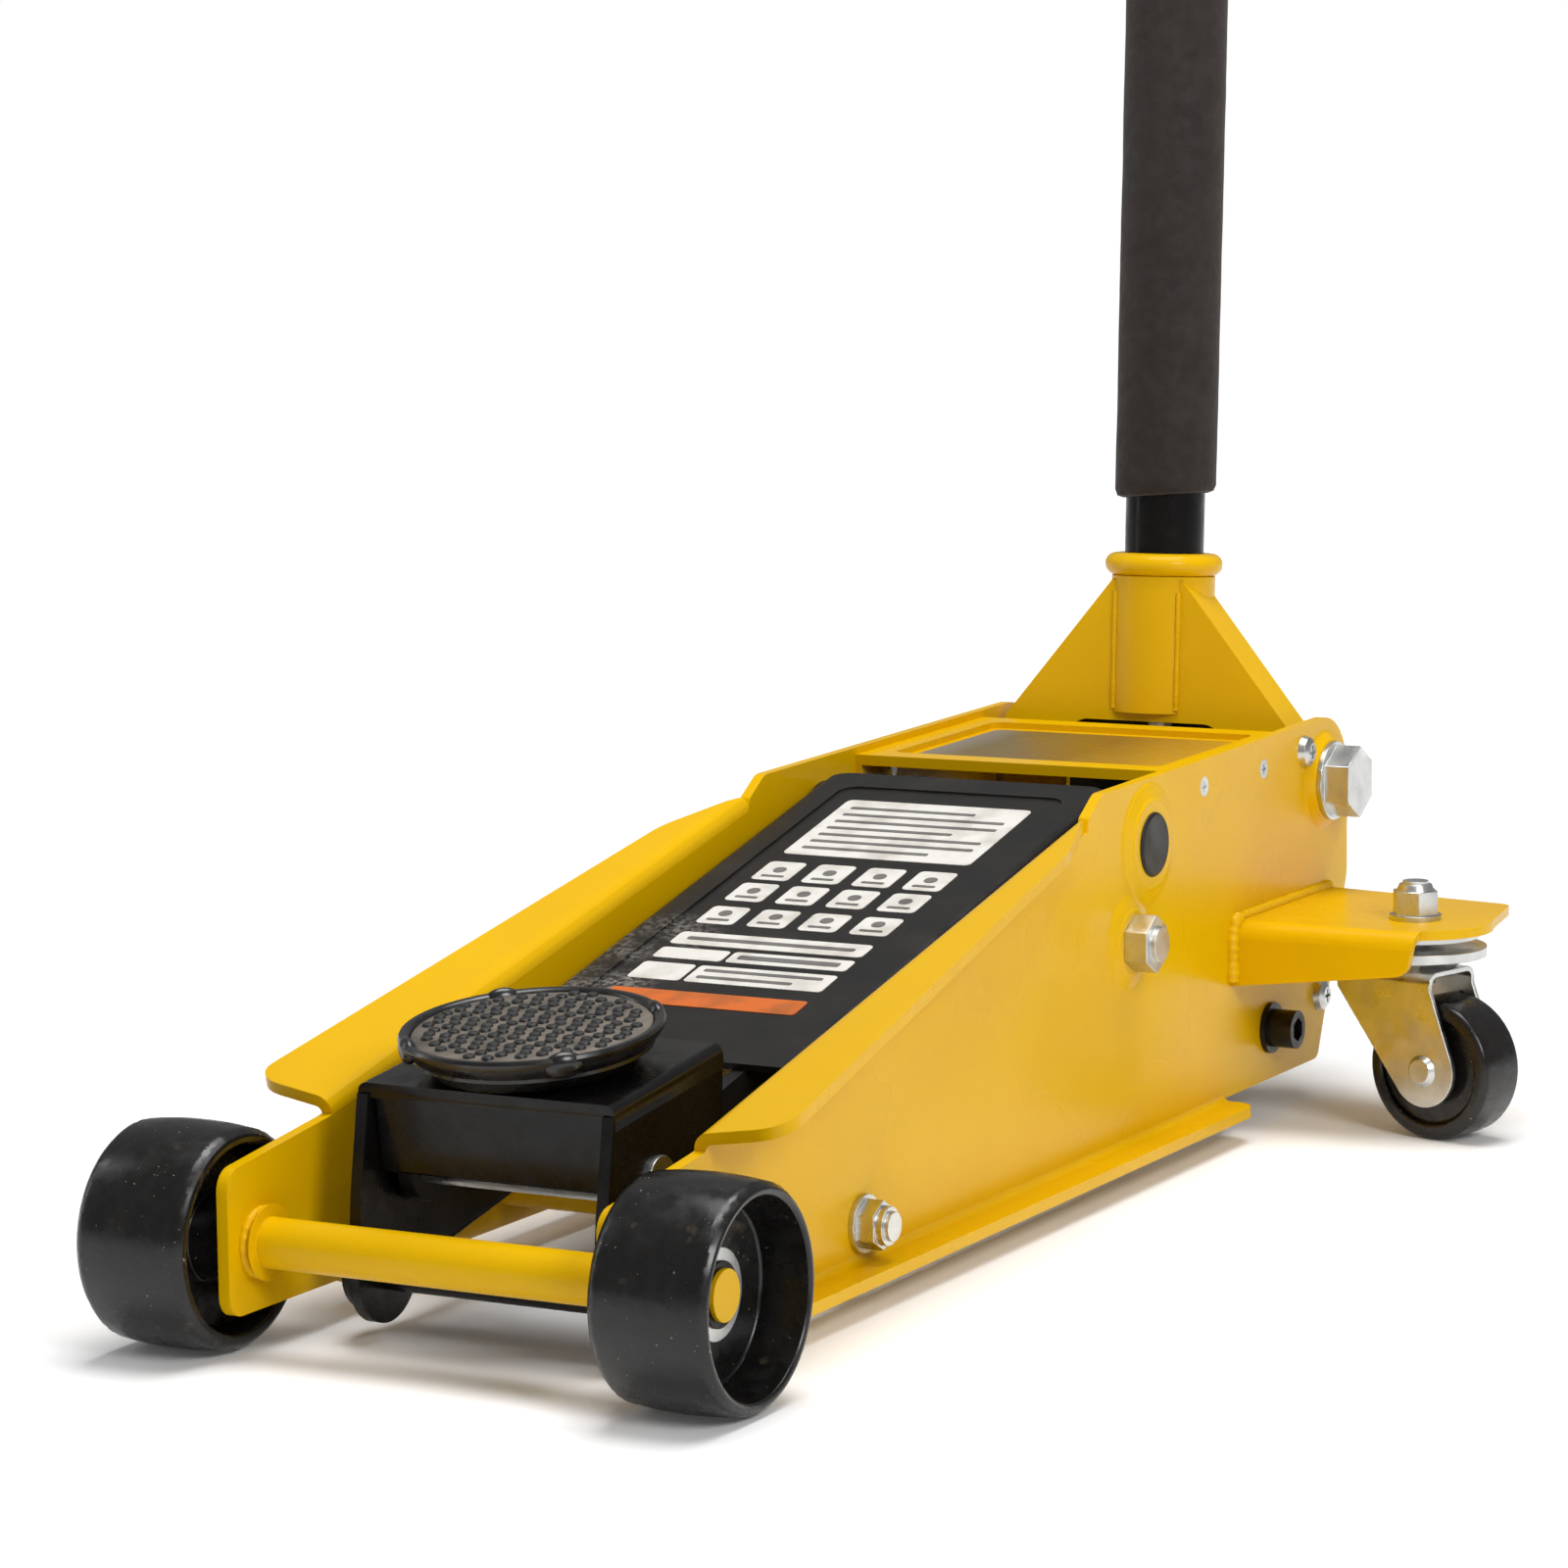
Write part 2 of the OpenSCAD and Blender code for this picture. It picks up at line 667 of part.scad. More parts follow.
module link_bolts() {
    y = pivot_y + link_dy;
    z = pivot_z + link_dz;
    out = plate_out + bearing_proud;
    color("silver") both() {
        rod_x(link_bolt_r, plate_in - 2, out + 13.5, y, z);
        rod_x(link_r, rod_x - 4, plate_in - 2, y, z);
        rod_x(link_r + 4, rod_x - 4, rod_x - side_clear, y, z);
        rod_x(link_r + 4, rod_x + rod_t + side_clear, plate_in, y, z);
        hex_x(22.6, out, out + 11, y, z);
    }
}

// ---------- power unit ----------

module pump_block() {
    color("dimgray") difference() {
        union() {
            translate([-block_half, block_y0, block_z0 + 34])
                cube([2 * block_half, block_y1 - block_y0 - 14, block_z1 - block_z0 - 34]);
            translate([-plate_in, block_y0 + 8, block_z0])
                cube([2 * plate_in, block_y1 - block_y0 - 8, 34]);
        }
        rod_y(barrel_r, block_y0 - 1, block_y1 - 26, 0, ram_z);
        both() rod_y(plunger_r + 5, block_y0 + 4, block_y1 + 1, plunger_x, pump_z);
        both() rod_x(cap_r, plate_in - 30, plate_in + 1, cap_y, cap_z);
        translate([0, release_y, release_z]) rotate([90 + release_tilt, 0, 0])
            cylinder(h = 84, r = 7.2, center = true);
    }
}

module block_screws() {
    color("dimgray") both() {
        rod_x(cap_r, plate_in - 28, plate_out + 2, cap_y, cap_z);
        rod_x(12, plate_out, plate_out + 2.5, cap_y, cap_z);
        difference() {
            rod_x(9, plate_out + 2.5, plate_out + 14.5, cap_y, cap_z);
            hex_x(10, plate_out + 8, plate_out + 15, cap_y, cap_z);
        }
    }
}

module cylinder_barrel() {
    color("dimgray") difference() {
        rod_y(barrel_r, barrel_y0 + 3, block_y1 - 26, 0, ram_z);
        rod_y(barrel_r - 6, barrel_y0 - 1, block_y1 - 30, 0, ram_z);
    }
}

module cylinder_end_nut() {
    color("silver") difference() {
        union() {
            rod_y(barrel_r + 4, barrel_y0 - 3, barrel_y0 + 3, 0, ram_z);
            rod_y(barrel_r - 6, barrel_y0 + 3, barrel_y0 + 9, 0, ram_z);
        }
        rod_y(ram_r + run_clear, barrel_y0 - 9, barrel_y0 + 16, 0, ram_z);
    }
}

module reservoir_shell() {
    wall = 3;
    color("black") difference() {
        rod_y(reservoir_r, reservoir_y0, block_y0, 0, ram_z);
        rod_y(reservoir_r - wall, reservoir_y0 + wall, block_y0 + 1, 0, ram_z);
        rod_y(barrel_r, reservoir_y0 - 1, block_y0 + 1, 0, ram_z);
        translate([0, reservoir_y0 + 24, ram_z]) cylinder(h = 80, r = 5);
    }
}

module filler_plug() {
    color("orange") translate([0, reservoir_y0 + 24, ram_z + reservoir_r]) {
        translate([0, 0, -6]) cylinder(h = 6, r = 5);
        cylinder(h = 5, r = 8);
    }
}

pump_z = handle_z - roller_w * cos(lean);
roller_y = handle_y - roller_w * sin(lean);
plunger_tip = roller_y - roller_r - roller_gap;
sleeve_end = block_y0 + 6 + sleeve_len;
module pump_sleeves() {
    color("silver") both() difference() {
        rod_y(plunger_r + 5, block_y0 + 4, sleeve_end, plunger_x, pump_z);
        rod_y(plunger_r + run_clear, block_y0 + 6, sleeve_end + 1, plunger_x, pump_z);
    }
}

module pump_plungers() {
    color("silver") both() {
        rod_y(plunger_r, sleeve_end - plunger_in, plunger_tip - 4, plunger_x, pump_z);
        rod_y(10.5, plunger_tip - 4, plunger_tip, plunger_x, pump_z);
    }
}

// release rod: a universal joint on the handle pivot, then a rod down into the pump block
release_tilt = 46;
release_y = block_y1 - 30;
release_z = handle_z - (handle_y - release_y) * tan(release_tilt);
module release_rod() {
    rod_len = 88;
    color("silver") translate([0, handle_y, handle_z]) rotate([90 + release_tilt, 0, 0]) {
        cylinder(h = rod_len, r = 7);
        sphere(r = 8.5);
    }
}

// lower end of the handle: a stem and a fork over the release rod's ball
module release_fork() {
    color("silver") at_handle() {
        translate([0, 0, 18]) cylinder(h = tube_w0 - 18, r = 6);
        translate([0, 0, 14]) cylinder(h = 4, r = 12.5);
        both() translate([9.5, -6, 3]) cube([3, 12, 12]);
    }
}

// ---------- lift arm ----------

module arm_side_plates() {
    p = [pivot_y, pivot_z];
    tip = [nose_y, nose_z];
    k = [ram_y, ram_z];
    // underside of the cover, as a line down from the pivot
    top = function (y) pivot_z + cover_rise - cover_t / cos(cover_slope)
        - (pivot_y - cover_back - y) * tan(cover_slope);
    y_front = pivot_y - cover_back - cover_len * cos(cover_slope);
    color("dimgray") both() plate_x(arm_x, arm_t) difference() {
        union() {
            link_shape(p, arm_back_r, k, 17);
            polygon([[pivot_y + 6, top(pivot_y - 6) - 1], [pivot_y - 6, top(pivot_y - 6)],
                [y_front, top(y_front)], [nose_y - 4, nose_z + arm_tip_r - 0.5],
                [nose_y + 4, nose_z - arm_tip_r + 0.5], [ram_y - 12, ram_z - 12.5],
                [ram_y, ram_z]]);
            translate(tip) circle(arm_tip_r);
        }
        polygon([[0, top(0)], [pivot_y + 60, top(pivot_y + 60)], [pivot_y + 60, 400], [0, 400]]);
        translate(p) circle(arm_tube_r);
        translate(tip) circle(nose_pin_r);
        translate(k) circle(ram_pin_r);
    }
}

module arm_cover() {
    side = cover_w / 2;
    panel_half = 56;
    edge = 16;
    translate([0, pivot_y - cover_back, pivot_z + cover_rise]) rotate([cover_slope, 0, 0])
        color("dimgray") difference() {
            union() {
                translate([0, 0, -skirt]) linear_extrude(skirt) polygon(rounded([
                    [-side, -cover_len, 3], [side, -cover_len, 3], [side, 0, 12],
                    [-side, 0, 12]]));
            }
            translate([0, 1, 0]) plate_y(-cover_len - 2, cover_len + 4) polygon(concat(
                [[-side + cover_t, -skirt - 1], [side - cover_t, -skirt - 1]],
                arc([side - cover_t - 2, -cover_t - 2], 2, 0, 90),
                arc([-side + cover_t + 2, -cover_t - 2], 2, 90, 180)));
            // round the long top edges
            both() translate([0, 1, 0]) plate_y(-cover_len - 2, cover_len + 4) polygon(concat(
                [[side + 1, 1]], arc([side - 4, -4], 4, 90, 0), [[side + 1, -4]]));
            // the skirts stop at the pivot tube
            rotate([-cover_slope, 0, 0])
                rod_x(arm_tube_r, -side - 1, side + 1, cover_back, -cover_rise);
            // shallow panel that holds the decal
            translate([0, 0, -0.8]) linear_extrude(2) polygon(rounded([
                [-panel_half, -cover_len + 8, 4], [panel_half, -cover_len + 8, 4],
                [panel_half, -edge, 8], [-panel_half, -edge, 8]]));
        }
}

module arm_pivot_tube() {
    color("dimgray") difference() {
        rod_x(arm_tube_r, -cover_w / 2 - 6, cover_w / 2 + 6, pivot_y, pivot_z);
        rod_x(pivot_r + run_clear, -plate_out, plate_out, pivot_y, pivot_z);
    }
}

module arm_cross_tube() {
    y = pivot_y - 190;
    color("dimgray") rod_x(12, -arm_x, arm_x, y, pivot_z - 45);
}

module ram_pin() {
    color("silver") {
        rod_x(ram_pin_r, -arm_x - arm_t, arm_x + arm_t, ram_y, ram_z);
        difference() {
            rod_x(ram_roller_r, -16, 16, ram_y, ram_z);
            rod_x(ram_pin_r - 1, -17, 17, ram_y, ram_z);
        }
    }
}

module saddle_pivot_pin() {
    color("silver") rod_x(nose_pin_r, -bracket_half - 2, bracket_half + 2, nose_y, nose_z);
}

// ---------- saddle ----------

link_y = nose_y + link_dy;
link_z = nose_z + link_dz;

module at_seat() {
    translate([0, seat_y, seat_z]) rotate([saddle_pitch, 0, 0]) children();
}

module bracket_cheek() {
    difference() {
        union() {
            plate_x(bracket_half - bracket_t, bracket_t) polygon(rounded([
                [link_y - lobe_r, link_z, 0], [link_y - lobe_r + 3, 60, 0],
                [seat_y + bracket_front, seat_z - 9, 0],
                [seat_y + bracket_back, seat_z + 1, 0],
                [seat_y + bracket_back - 2, nose_z + 2, 14], [nose_y + 18, nose_z - 14, 10],
                [link_y + lobe_r - 2, link_z + 6, 0], [link_y, link_z, 0]]));
            plate_x(bracket_half - bracket_t, bracket_t)
                translate([link_y, link_z]) circle(lobe_r);
        }
        rod_x(nose_pin_r + run_clear, 0, bracket_half + 1, nose_y, nose_z);
        rod_x(link_pin_r, 0, bracket_half + 1, link_y, link_z);
    }
}

module saddle_bracket() {
    top_t = 6;
    len = bracket_back - bracket_front;
    color("dimgray") {
        both() bracket_cheek();
        at_seat() difference() {
            plate_y(bracket_front, len) polygon(concat(
                arc([bracket_half - 4, -4], 4, 0, 90), arc([-bracket_half + 4, -4], 4, 90, 180),
                [[-bracket_half, -10], [-bracket_half + bracket_t, -10],
                    [-bracket_half + bracket_t, -top_t], [bracket_half - bracket_t, -top_t],
                    [bracket_half - bracket_t, -10], [bracket_half, -10]]));
            cylinder(h = 30, r = stem_r + run_clear, center = true);
        }
    }
}

module bracket_front_plate() {
    half = bracket_half - bracket_t;
    color("dimgray") at_seat() translate([-half, bracket_front + 3, -37])
        cube([2 * half, 5, 31]);
}

module link_pin() {
    end = rod_x + rod_t + 3;
    color("dimgray") {
        rod_x(link_pin_r, -end, end, link_y, link_z);
        both() rod_x(link_pin_r + 3, rod_x + rod_t + side_clear, end, link_y, link_z);
    }
}

module saddle_cup() {
    r = saddle_d / 2;
    floor_t = 7;
    rim_t = 5;
    lug_r = 8;
    color("dimgray") at_seat() difference() {
        union() {
            rotate_extrude() polygon([[0, 0.2], [r - 12, 0.2], [r, saddle_h - 9], [r, saddle_h],
                [r - rim_t, saddle_h], [r - rim_t, floor_t], [0, floor_t]]);
            for (a = [45:90:315]) rotate([0, 0, a]) translate([r - 7, 0, floor_t - 1])
                cylinder(h = saddle_h - floor_t + 3, r = lug_r);
            translate([0, 0, -24]) cylinder(h = 25, r = stem_r);
        }
        translate([0, 0, floor_t]) cylinder(h = saddle_h, r = r - rim_t);
    }
}

module saddle_pad() {
    r = saddle_d / 2 - 5;
    stud = 2.4;
    color("black") at_seat() translate([0, 0, 7]) {
        cylinder(h = saddle_h - 7 - stud, r = r);
        translate([0, 0, saddle_h - 7 - stud - 0.5]) cylinder(h = stud + 0.5, r = r - 6);
    }
}

module leveling_rod() {
    a = [link_y, link_z];
    b = [pivot_y + link_dy, pivot_z + link_dz];
    plate_x(rod_x, rod_t) difference() {
        union() {
            polygon(belt(a, rod_half, b, rod_half));
            translate(a) circle(rod_end_r + 2);
            translate(b) circle(rod_end_r);
        }
        translate(a) circle(link_pin_r + run_clear);
        translate(b) circle(link_r + run_clear);
    }
}
module leveling_rod_right() { color("dimgray") leveling_rod(); }
module leveling_rod_left() { color("dimgray") mirror([1, 0, 0]) leveling_rod(); }

module ram_rod() {
    color("silver") {
        rod_y(ram_r, ram_front + ram_head_t - 4, piston_y, 0, ram_z);
        rod_y(barrel_r - 6 - run_clear, piston_y, piston_y + piston_t, 0, ram_z);
    }
}

module ram_head() {
    color("dimgray") difference() {
        translate([-19, ram_front, ram_z - 26]) cube([38, ram_head_t, 46]);
        rod_y(ram_r, ram_front + ram_head_t - 4, ram_front + 40, 0, ram_z);
    }
}

// ---------- handle ----------

module at_handle() {
    translate([0, handle_y, handle_z]) rotate([-lean, 0, 0]) children();
}

module yoke_frame() {
    flange_t = 4;
    low_half = web_half - flange_t;
    bend_low = web_knee - 7;
    in_half = web_half - 1.5;
    in_top = web_top_half - 1.5;
    slope = atan2(web_top - web_knee, web_half - web_top_half);
    color("gold") at_handle() difference() {
        union() {
            plate_y(web_y, web_t) polygon([[-in_half, web_low], [in_half, web_low],
                [in_half, web_knee], [in_top, web_top], [-in_top, web_top],
                [-in_half, web_knee]]);
            both() {
                plate_y(web_y, flange_d) polygon([[web_half, bend_low], [web_half, web_knee],
                    [web_top_half, web_top],
                    [web_top_half - flange_t * sin(slope), web_top - flange_t * cos(slope)],
                    [low_half, web_knee - flange_t * (1 - cos(slope)) / sin(slope)],
                    [low_half, bend_low]]);
                plate_x(low_half, flange_t) polygon(rounded([[web_y, web_low, 0],
                    [-10, -roller_w - 12, 8], [10, -roller_w - 12, 8], [24, 0, 10],
                    [web_y + flange_d, web_knee - 5, 0], [web_y, web_knee - 5, 0]]));
            }
        }
        translate([0, 0, socket_w0]) cylinder(h = 200, r = socket_r);
        plate_y(web_y - 1, web_t + 2) polygon(rounded([[-slot_half, web_low - 1, 0],
            [slot_half, web_low - 1, 0], [slot_half, web_knee, 10],
            [-slot_half, web_knee, 10]]));
        both() rod_x(pivot_bolt_r + run_clear, low_half - 1, web_half + 1, 0, 0);
        both() rod_x(5, low_half - 1, web_half + 1, 0, -roller_w);
    }
}

module yoke_back_plate() {
    color("dimgray") at_handle() translate([-web_half + 4, 15, -back_drop])
        cube([2 * web_half - 8, 2, back_drop + 24]);
}

module yoke_tube() {
    color("gold") at_handle() difference() {
        translate([0, 0, socket_w0]) cylinder(h = socket_w1 - socket_w0, r = socket_r);
        translate([0, 0, socket_w0 - 1]) cylinder(h = 80, r = tube_r + run_clear);
    }
}

module yoke_ring() {
    bead = ring_h / 2;
    color("gold") at_handle() translate([0, 0, socket_w1]) rotate_extrude()
        polygon(concat([[tube_r + run_clear, ring_h], [tube_r + run_clear, 0]],
            arc([ring_r - bead, bead], bead, -90, 90, 10)));
}

module pump_rollers() {
    color("silver") at_handle() both() {
        rod_x(5, plunger_x - 11, web_half, 0, -roller_w);
        rod_x(roller_r, plunger_x - 9, plunger_x + 9, 0, -roller_w);
    }
}

module handle_pivot_bolts() {
    out = plate_out + bearing_proud + 1;
    inner = web_half - 6;
    color("silver") both() {
        rod_x(pivot_bolt_r, inner, out + 4, handle_y, handle_z);
        rod_x(pivot_bolt_r + 5, web_half + side_clear, plate_in, handle_y, handle_z);
        rod_x(19, out, out + 2.5, handle_y, handle_z);
        hex_x(30, out + 2.5, out + 15, handle_y, handle_z);
    }
}

module handle_lower_tube() {
    color("black") at_handle() difference() {
        translate([0, 0, tube_w0]) cylinder(h = tube_w1 - tube_w0, r = tube_r);
        translate([0, 0, tube_w0 + 6]) cylinder(h = tube_w1, r = tube_r - tube_wall);
    }
}

module handle_upper_tube() {
    color("silver") at_handle() difference() {
        translate([0, 0, tube_w1 - overlap])
            cylinder(h = handle_len - 6 - tube_w1 + overlap, r = tube_r - tube_wall);
        translate([0, 0, tube_w1 - overlap - 1])
            cylinder(h = handle_len - tube_w1 + overlap - 12, r = tube_r - 2 * tube_wall);
    }
}

module foam_sleeve() {
    color("dimgray") at_handle() difference() {
        translate([0, 0, foam_w0]) cylinder(h = foam_len, r = foam_r);
        translate([0, 0, foam_w0 - 1]) cylinder(h = foam_len + 2, r = tube_r);
    }
}

module handle_grip() {
    color("black") at_handle() difference() {
        translate([0, 0, handle_len - grip_len]) cylinder(h = grip_len, r = grip_r);
        translate([0, 0, handle_len - grip_len - 1])
            cylinder(h = grip_len - 5, r = tube_r - tube_wall);
    }
}

jack() side_plate_right();
jack() side_plate_left();
jack() front_axle();
jack() axle_washers();
jack() axle_rings();
jack() front_tie_bolt();
jack() front_tie_tube();
jack() top_cover();
jack() cover_screws();
jack() stop_bar();
jack() rear_tie_tube();
jack() rear_screws();
jack() caster_bracket_right();
jack() caster_bracket_left();
jack() caster_kingpins();
jack() arm_pivot_shaft();
jack() link_bolts();
jack() pump_block();
jack() block_screws();
jack() cylinder_barrel();
jack() cylinder_end_nut();
jack() reservoir_shell();
jack() filler_plug();
jack() pump_sleeves();
jack() handle_pivot_bolts();
jack() arm_side_plates();
jack() arm_cover();
jack() arm_pivot_tube();
jack() arm_cross_tube();
jack() ram_pin();
jack() saddle_pivot_pin();
jack() saddle_bracket();
jack() bracket_front_plate();
jack() link_pin();
jack() saddle_cup();
jack() saddle_pad();
jack() leveling_rod_right();
jack() leveling_rod_left();
jack() ram_rod();
jack() ram_head();
jack() front_wheel_right();
jack() front_wheel_left();
jack() caster_fork_right();
jack() caster_fork_left();
jack() caster_rivet_right();
jack() caster_rivet_left();
jack() caster_wheel_right();
jack() caster_wheel_left();
jack() pump_plungers();
jack() yoke_frame();
jack() yoke_back_plate();
jack() yoke_tube();
jack() yoke_ring();
jack() pump_rollers();
jack() handle_lower_tube();
jack() handle_upper_tube();
jack() foam_sleeve();
jack() handle_grip();
jack() release_fork();
jack() release_rod();
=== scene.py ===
# %% [markdown]
# # Hydraulic trolley jack
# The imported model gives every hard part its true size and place. This script dresses it: paint,
# plating, plastic and foam, softened edges, weld beads, labels, the studded pad, and the room.

# %% Load the frame
import json
import math

import bmesh
import bpy
from mathutils import Matrix, Vector, noise


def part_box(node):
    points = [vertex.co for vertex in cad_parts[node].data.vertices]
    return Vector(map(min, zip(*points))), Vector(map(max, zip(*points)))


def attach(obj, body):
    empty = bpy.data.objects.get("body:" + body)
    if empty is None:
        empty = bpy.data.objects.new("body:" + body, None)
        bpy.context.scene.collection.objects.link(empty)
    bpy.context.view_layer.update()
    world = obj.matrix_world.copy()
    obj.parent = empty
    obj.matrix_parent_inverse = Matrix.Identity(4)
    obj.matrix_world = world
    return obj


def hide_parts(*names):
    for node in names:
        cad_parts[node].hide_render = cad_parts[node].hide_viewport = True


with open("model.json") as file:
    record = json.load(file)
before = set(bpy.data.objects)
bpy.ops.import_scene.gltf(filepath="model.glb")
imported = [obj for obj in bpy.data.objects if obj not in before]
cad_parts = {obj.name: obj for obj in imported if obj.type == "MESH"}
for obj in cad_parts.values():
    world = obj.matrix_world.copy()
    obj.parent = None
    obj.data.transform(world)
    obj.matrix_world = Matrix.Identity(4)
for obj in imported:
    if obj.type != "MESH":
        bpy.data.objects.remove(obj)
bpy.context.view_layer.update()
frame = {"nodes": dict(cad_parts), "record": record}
nodes = frame["nodes"]
MM = 0.001

# %% [markdown]
# Moving parts are placed from their joints: the arm from its pivot, the saddle from its swivel and
# the handle from its pump pivot. Each gets a matrix, so a piece can be made flat and then laid in.
# The two covers are sheets that slope, so their matrices lie on their top faces.

# %% Places taken from the frame
JOINTS = {j["name"]: j for j in frame["record"]["behaviour"]["joints"]}
BODY_OF = {n: b for b, names in frame["record"]["behaviour"]["bodies"].items() for n in names}
SLOT_OF = {s["node"]: s["material_slot"] for s in frame["record"]["subparts"]}
COVER_SLOPE = 13.8                          # degrees
COVER_BACK, COVER_RISE = 2.8, 24.8          # mm, its rear edge in front of and over the arm pivot
LID_SLOPE = 1.25                            # degrees
LID_SIDE = 20                               # mm, depth of the top cover's side flanges


def joint_at(name):
    return Vector(JOINTS[name]["pos_m"])


def laid(origin, tilt):
    """A matrix at origin, turned about X by tilt degrees."""
    return Matrix.Translation(origin) @ Matrix.Rotation(math.radians(tilt), 4, "X")


LEAN = math.degrees(math.asin(JOINTS["handle_twist"]["axis"][1]))
PITCH = math.degrees(math.asin(-JOINTS["saddle_swivel"]["axis"][1]))
HANDLE = laid(joint_at("pump"), -LEAN)
SEAT = laid(joint_at("saddle_swivel"), PITCH)
COVER = laid(joint_at("lift") + Vector((0, -COVER_BACK * MM, COVER_RISE * MM)), COVER_SLOPE)
_, lid_y, lid_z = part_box("top_cover")[0]
LID = laid(Vector((0, lid_y + 0.5 * MM, lid_z + LID_SIDE * MM)), LID_SLOPE)
print("handle lean", round(LEAN, 2), "saddle pitch", round(PITCH, 2))

# %% [markdown]
# Colours are written as the hex values of a paint chart. Blender shades in linear light, so one
# function turns each hex value into linear numbers. A pattern's scale is the number of its
# features in a metre, so it is worked out from the real size of one feature.

# %% Colour and pattern sizes
BLACK, WHITE = (0, 0, 0, 1), (1, 1, 1, 1)


def linear(hex_code):
    """sRGB hex to a linear RGBA tuple."""
    out = []
    for i in (0, 2, 4):
        c = int(hex_code[i:i + 2], 16) / 255
        out.append(c / 12.92 if c <= 0.04045 else ((c + 0.055) / 1.055) ** 2.4)
    return (*out, 1.0)


def per_mm(size):
    """The scale of a pattern whose features are this many millimetres apart."""
    return 1 / (size * MM)


print("enamel in linear light:", linear("D4A400"))

# %% [markdown]
# A material is a small graph of nodes. One function adds a node, sets its properties (or the stops
# of a colour ramp) and fills its sockets. Values that are the same all over a surface are set on
# the shader itself, which keeps the graph small and exports well.

# %% Adding nodes
def add(tree, kind, settings=None, **links):
    """Adds a node. settings sets properties; links fills sockets with values or sockets."""
    node = tree.nodes.new(kind)
    for name, value in (settings or {}).items():
        if name == "stops":
            elements = node.color_ramp.elements
            while len(elements) < len(value):
                elements.new(0.5)
            for element, (position, colour) in zip(elements, value):
                element.position = position
                element.color = colour
        else:
            setattr(node, name, value)
    for name, value in links.items():
        key = int(name[1:]) if name[0] == "i" and name[1:].isdigit() else name.replace("_", " ")
        socket = node.inputs[key]
        if isinstance(value, bpy.types.NodeSocket):
            tree.links.new(value, socket)
        else:
            socket.default_value = value
    return node


def new_material(name, **sockets):
    """A material with a shader, its uniform values, and the object's own coordinates."""
    material = bpy.data.materials.new(name)
    material.use_nodes = True
    tree = material.node_tree
    tree.nodes.clear()
    shader = add(tree, "ShaderNodeBsdfPrincipled")
    add(tree, "ShaderNodeOutputMaterial", i0=shader.outputs[0])
    for key, value in sockets.items():
        shader.inputs[key.replace("_", " ")].default_value = value
    return material, tree, shader, add(tree, "ShaderNodeTexCoord").outputs["Object"]


print("one function adds every node")

# %% [markdown]
# No real finish is even. Paint lies thicker in places, gloss is cloudy, and the skin has a grain.
# All three come from noise on the object's own coordinates, each at its own size, so this function
# lays them together. A finish that has more to it, such as wear, adds its own nodes afterwards.

# %% An uneven finish
def lay_finish(surface, tint=None, gloss=None, relief=None):
    """Cloudy colour, cloudy roughness and a fine relief. Returns the colour's socket.

    tint: cloud size in mm, detail, then stops of position and hex colour
    gloss: cloud size in mm, detail, lowest and highest roughness
    relief: grain size in mm, detail, depth in mm, strength
    """
    material, tree, shader, coords = surface
    colour = None
    if tint:
        size, detail, *stops = tint
        cloud = add(tree, "ShaderNodeTexNoise", Vector=coords, Scale=per_mm(size), Detail=detail)
        colour = add(tree, "ShaderNodeValToRGB", {"stops": [(at, linear(c)) for at, c in stops]},
                     i0=cloud.outputs[0]).outputs[0]
        tree.links.new(colour, shader.inputs["Base Color"])
    if gloss:
        size, detail, low, high = gloss
        cloud = add(tree, "ShaderNodeTexNoise", Vector=coords, Scale=per_mm(size), Detail=detail)
        rough = add(tree, "ShaderNodeMapRange", Value=cloud.outputs[0], From_Min=0.35,
                    From_Max=0.65, To_Min=low, To_Max=high)
        tree.links.new(rough.outputs[0], shader.inputs["Roughness"])
    if relief:
        size, detail, depth, strength = relief
        skin = add(tree, "ShaderNodeTexNoise", Vector=coords, Scale=per_mm(size), Detail=detail)
        raised = add(tree, "ShaderNodeBump", Strength=strength, Distance=depth * MM,
                     Height=skin.outputs[0])
        tree.links.new(raised.outputs[0], shader.inputs["Normal"])
    return colour


print("roughness clouds use the middle of the noise, 0.35 to 0.65")

# %% [markdown]
# The chassis is pressed steel sprayed with a glossy alkyd enamel. The eye sees one strong yellow, a
# clear gloss, and orange peel a few millimetres across. A thin film of dust dulls it in patches.
# Noise only moves the yellow slightly, as a thicker or thinner coat would.

# %% Yellow enamel on steel
def glossy_alkyd_enamel():
    surface = new_material("glossy_alkyd_enamel", IOR=1.48, Coat_Weight=0.06, Coat_Roughness=0.1,
                           Specular_IOR_Level=0.13)
    lay_finish(surface, (90, 3.0, (0.3, "D4A400"), (0.7, "DBAC00")), (60, 1.0, 0.26, 0.32),
               (3, 0.0, 0.02, 0.15))
    return surface[0]


ENAMEL = glossy_alkyd_enamel()
print("made", ENAMEL.name)

# %% [markdown]
# The arm and its cover are powder coated black. Powder melts into a fine leather-like texture about
# a millimetre across, so it has a broad soft sheen instead of a mirror. Dust sits in the texture.

# %% Black powder coat
POWDER_TINT = (30, 6.0, (0.35, "121110"), (0.62, "1A1816"), (0.8, "2A2623"))


def textured_powder_coat():
    surface = new_material("textured_powder_coat", IOR=1.5, Specular_IOR_Level=0.3)
    lay_finish(surface, POWDER_TINT, (12, 3.0, 0.34, 0.5), (1.1, 3.0, 0.12, 0.5))
    return surface[0]


POWDER = textured_powder_coat()
print("made", POWDER.name)

# %% [markdown]
# The cover's left side has been rubbed pale beside the labels, where hands and boxes slide over it.
# Three soft edges on the object's own coordinates mark the patch. Two noises break it up: one as
# coarse as a smear, one as fine as the powder's texture. What is left mixes in a chalky grey.

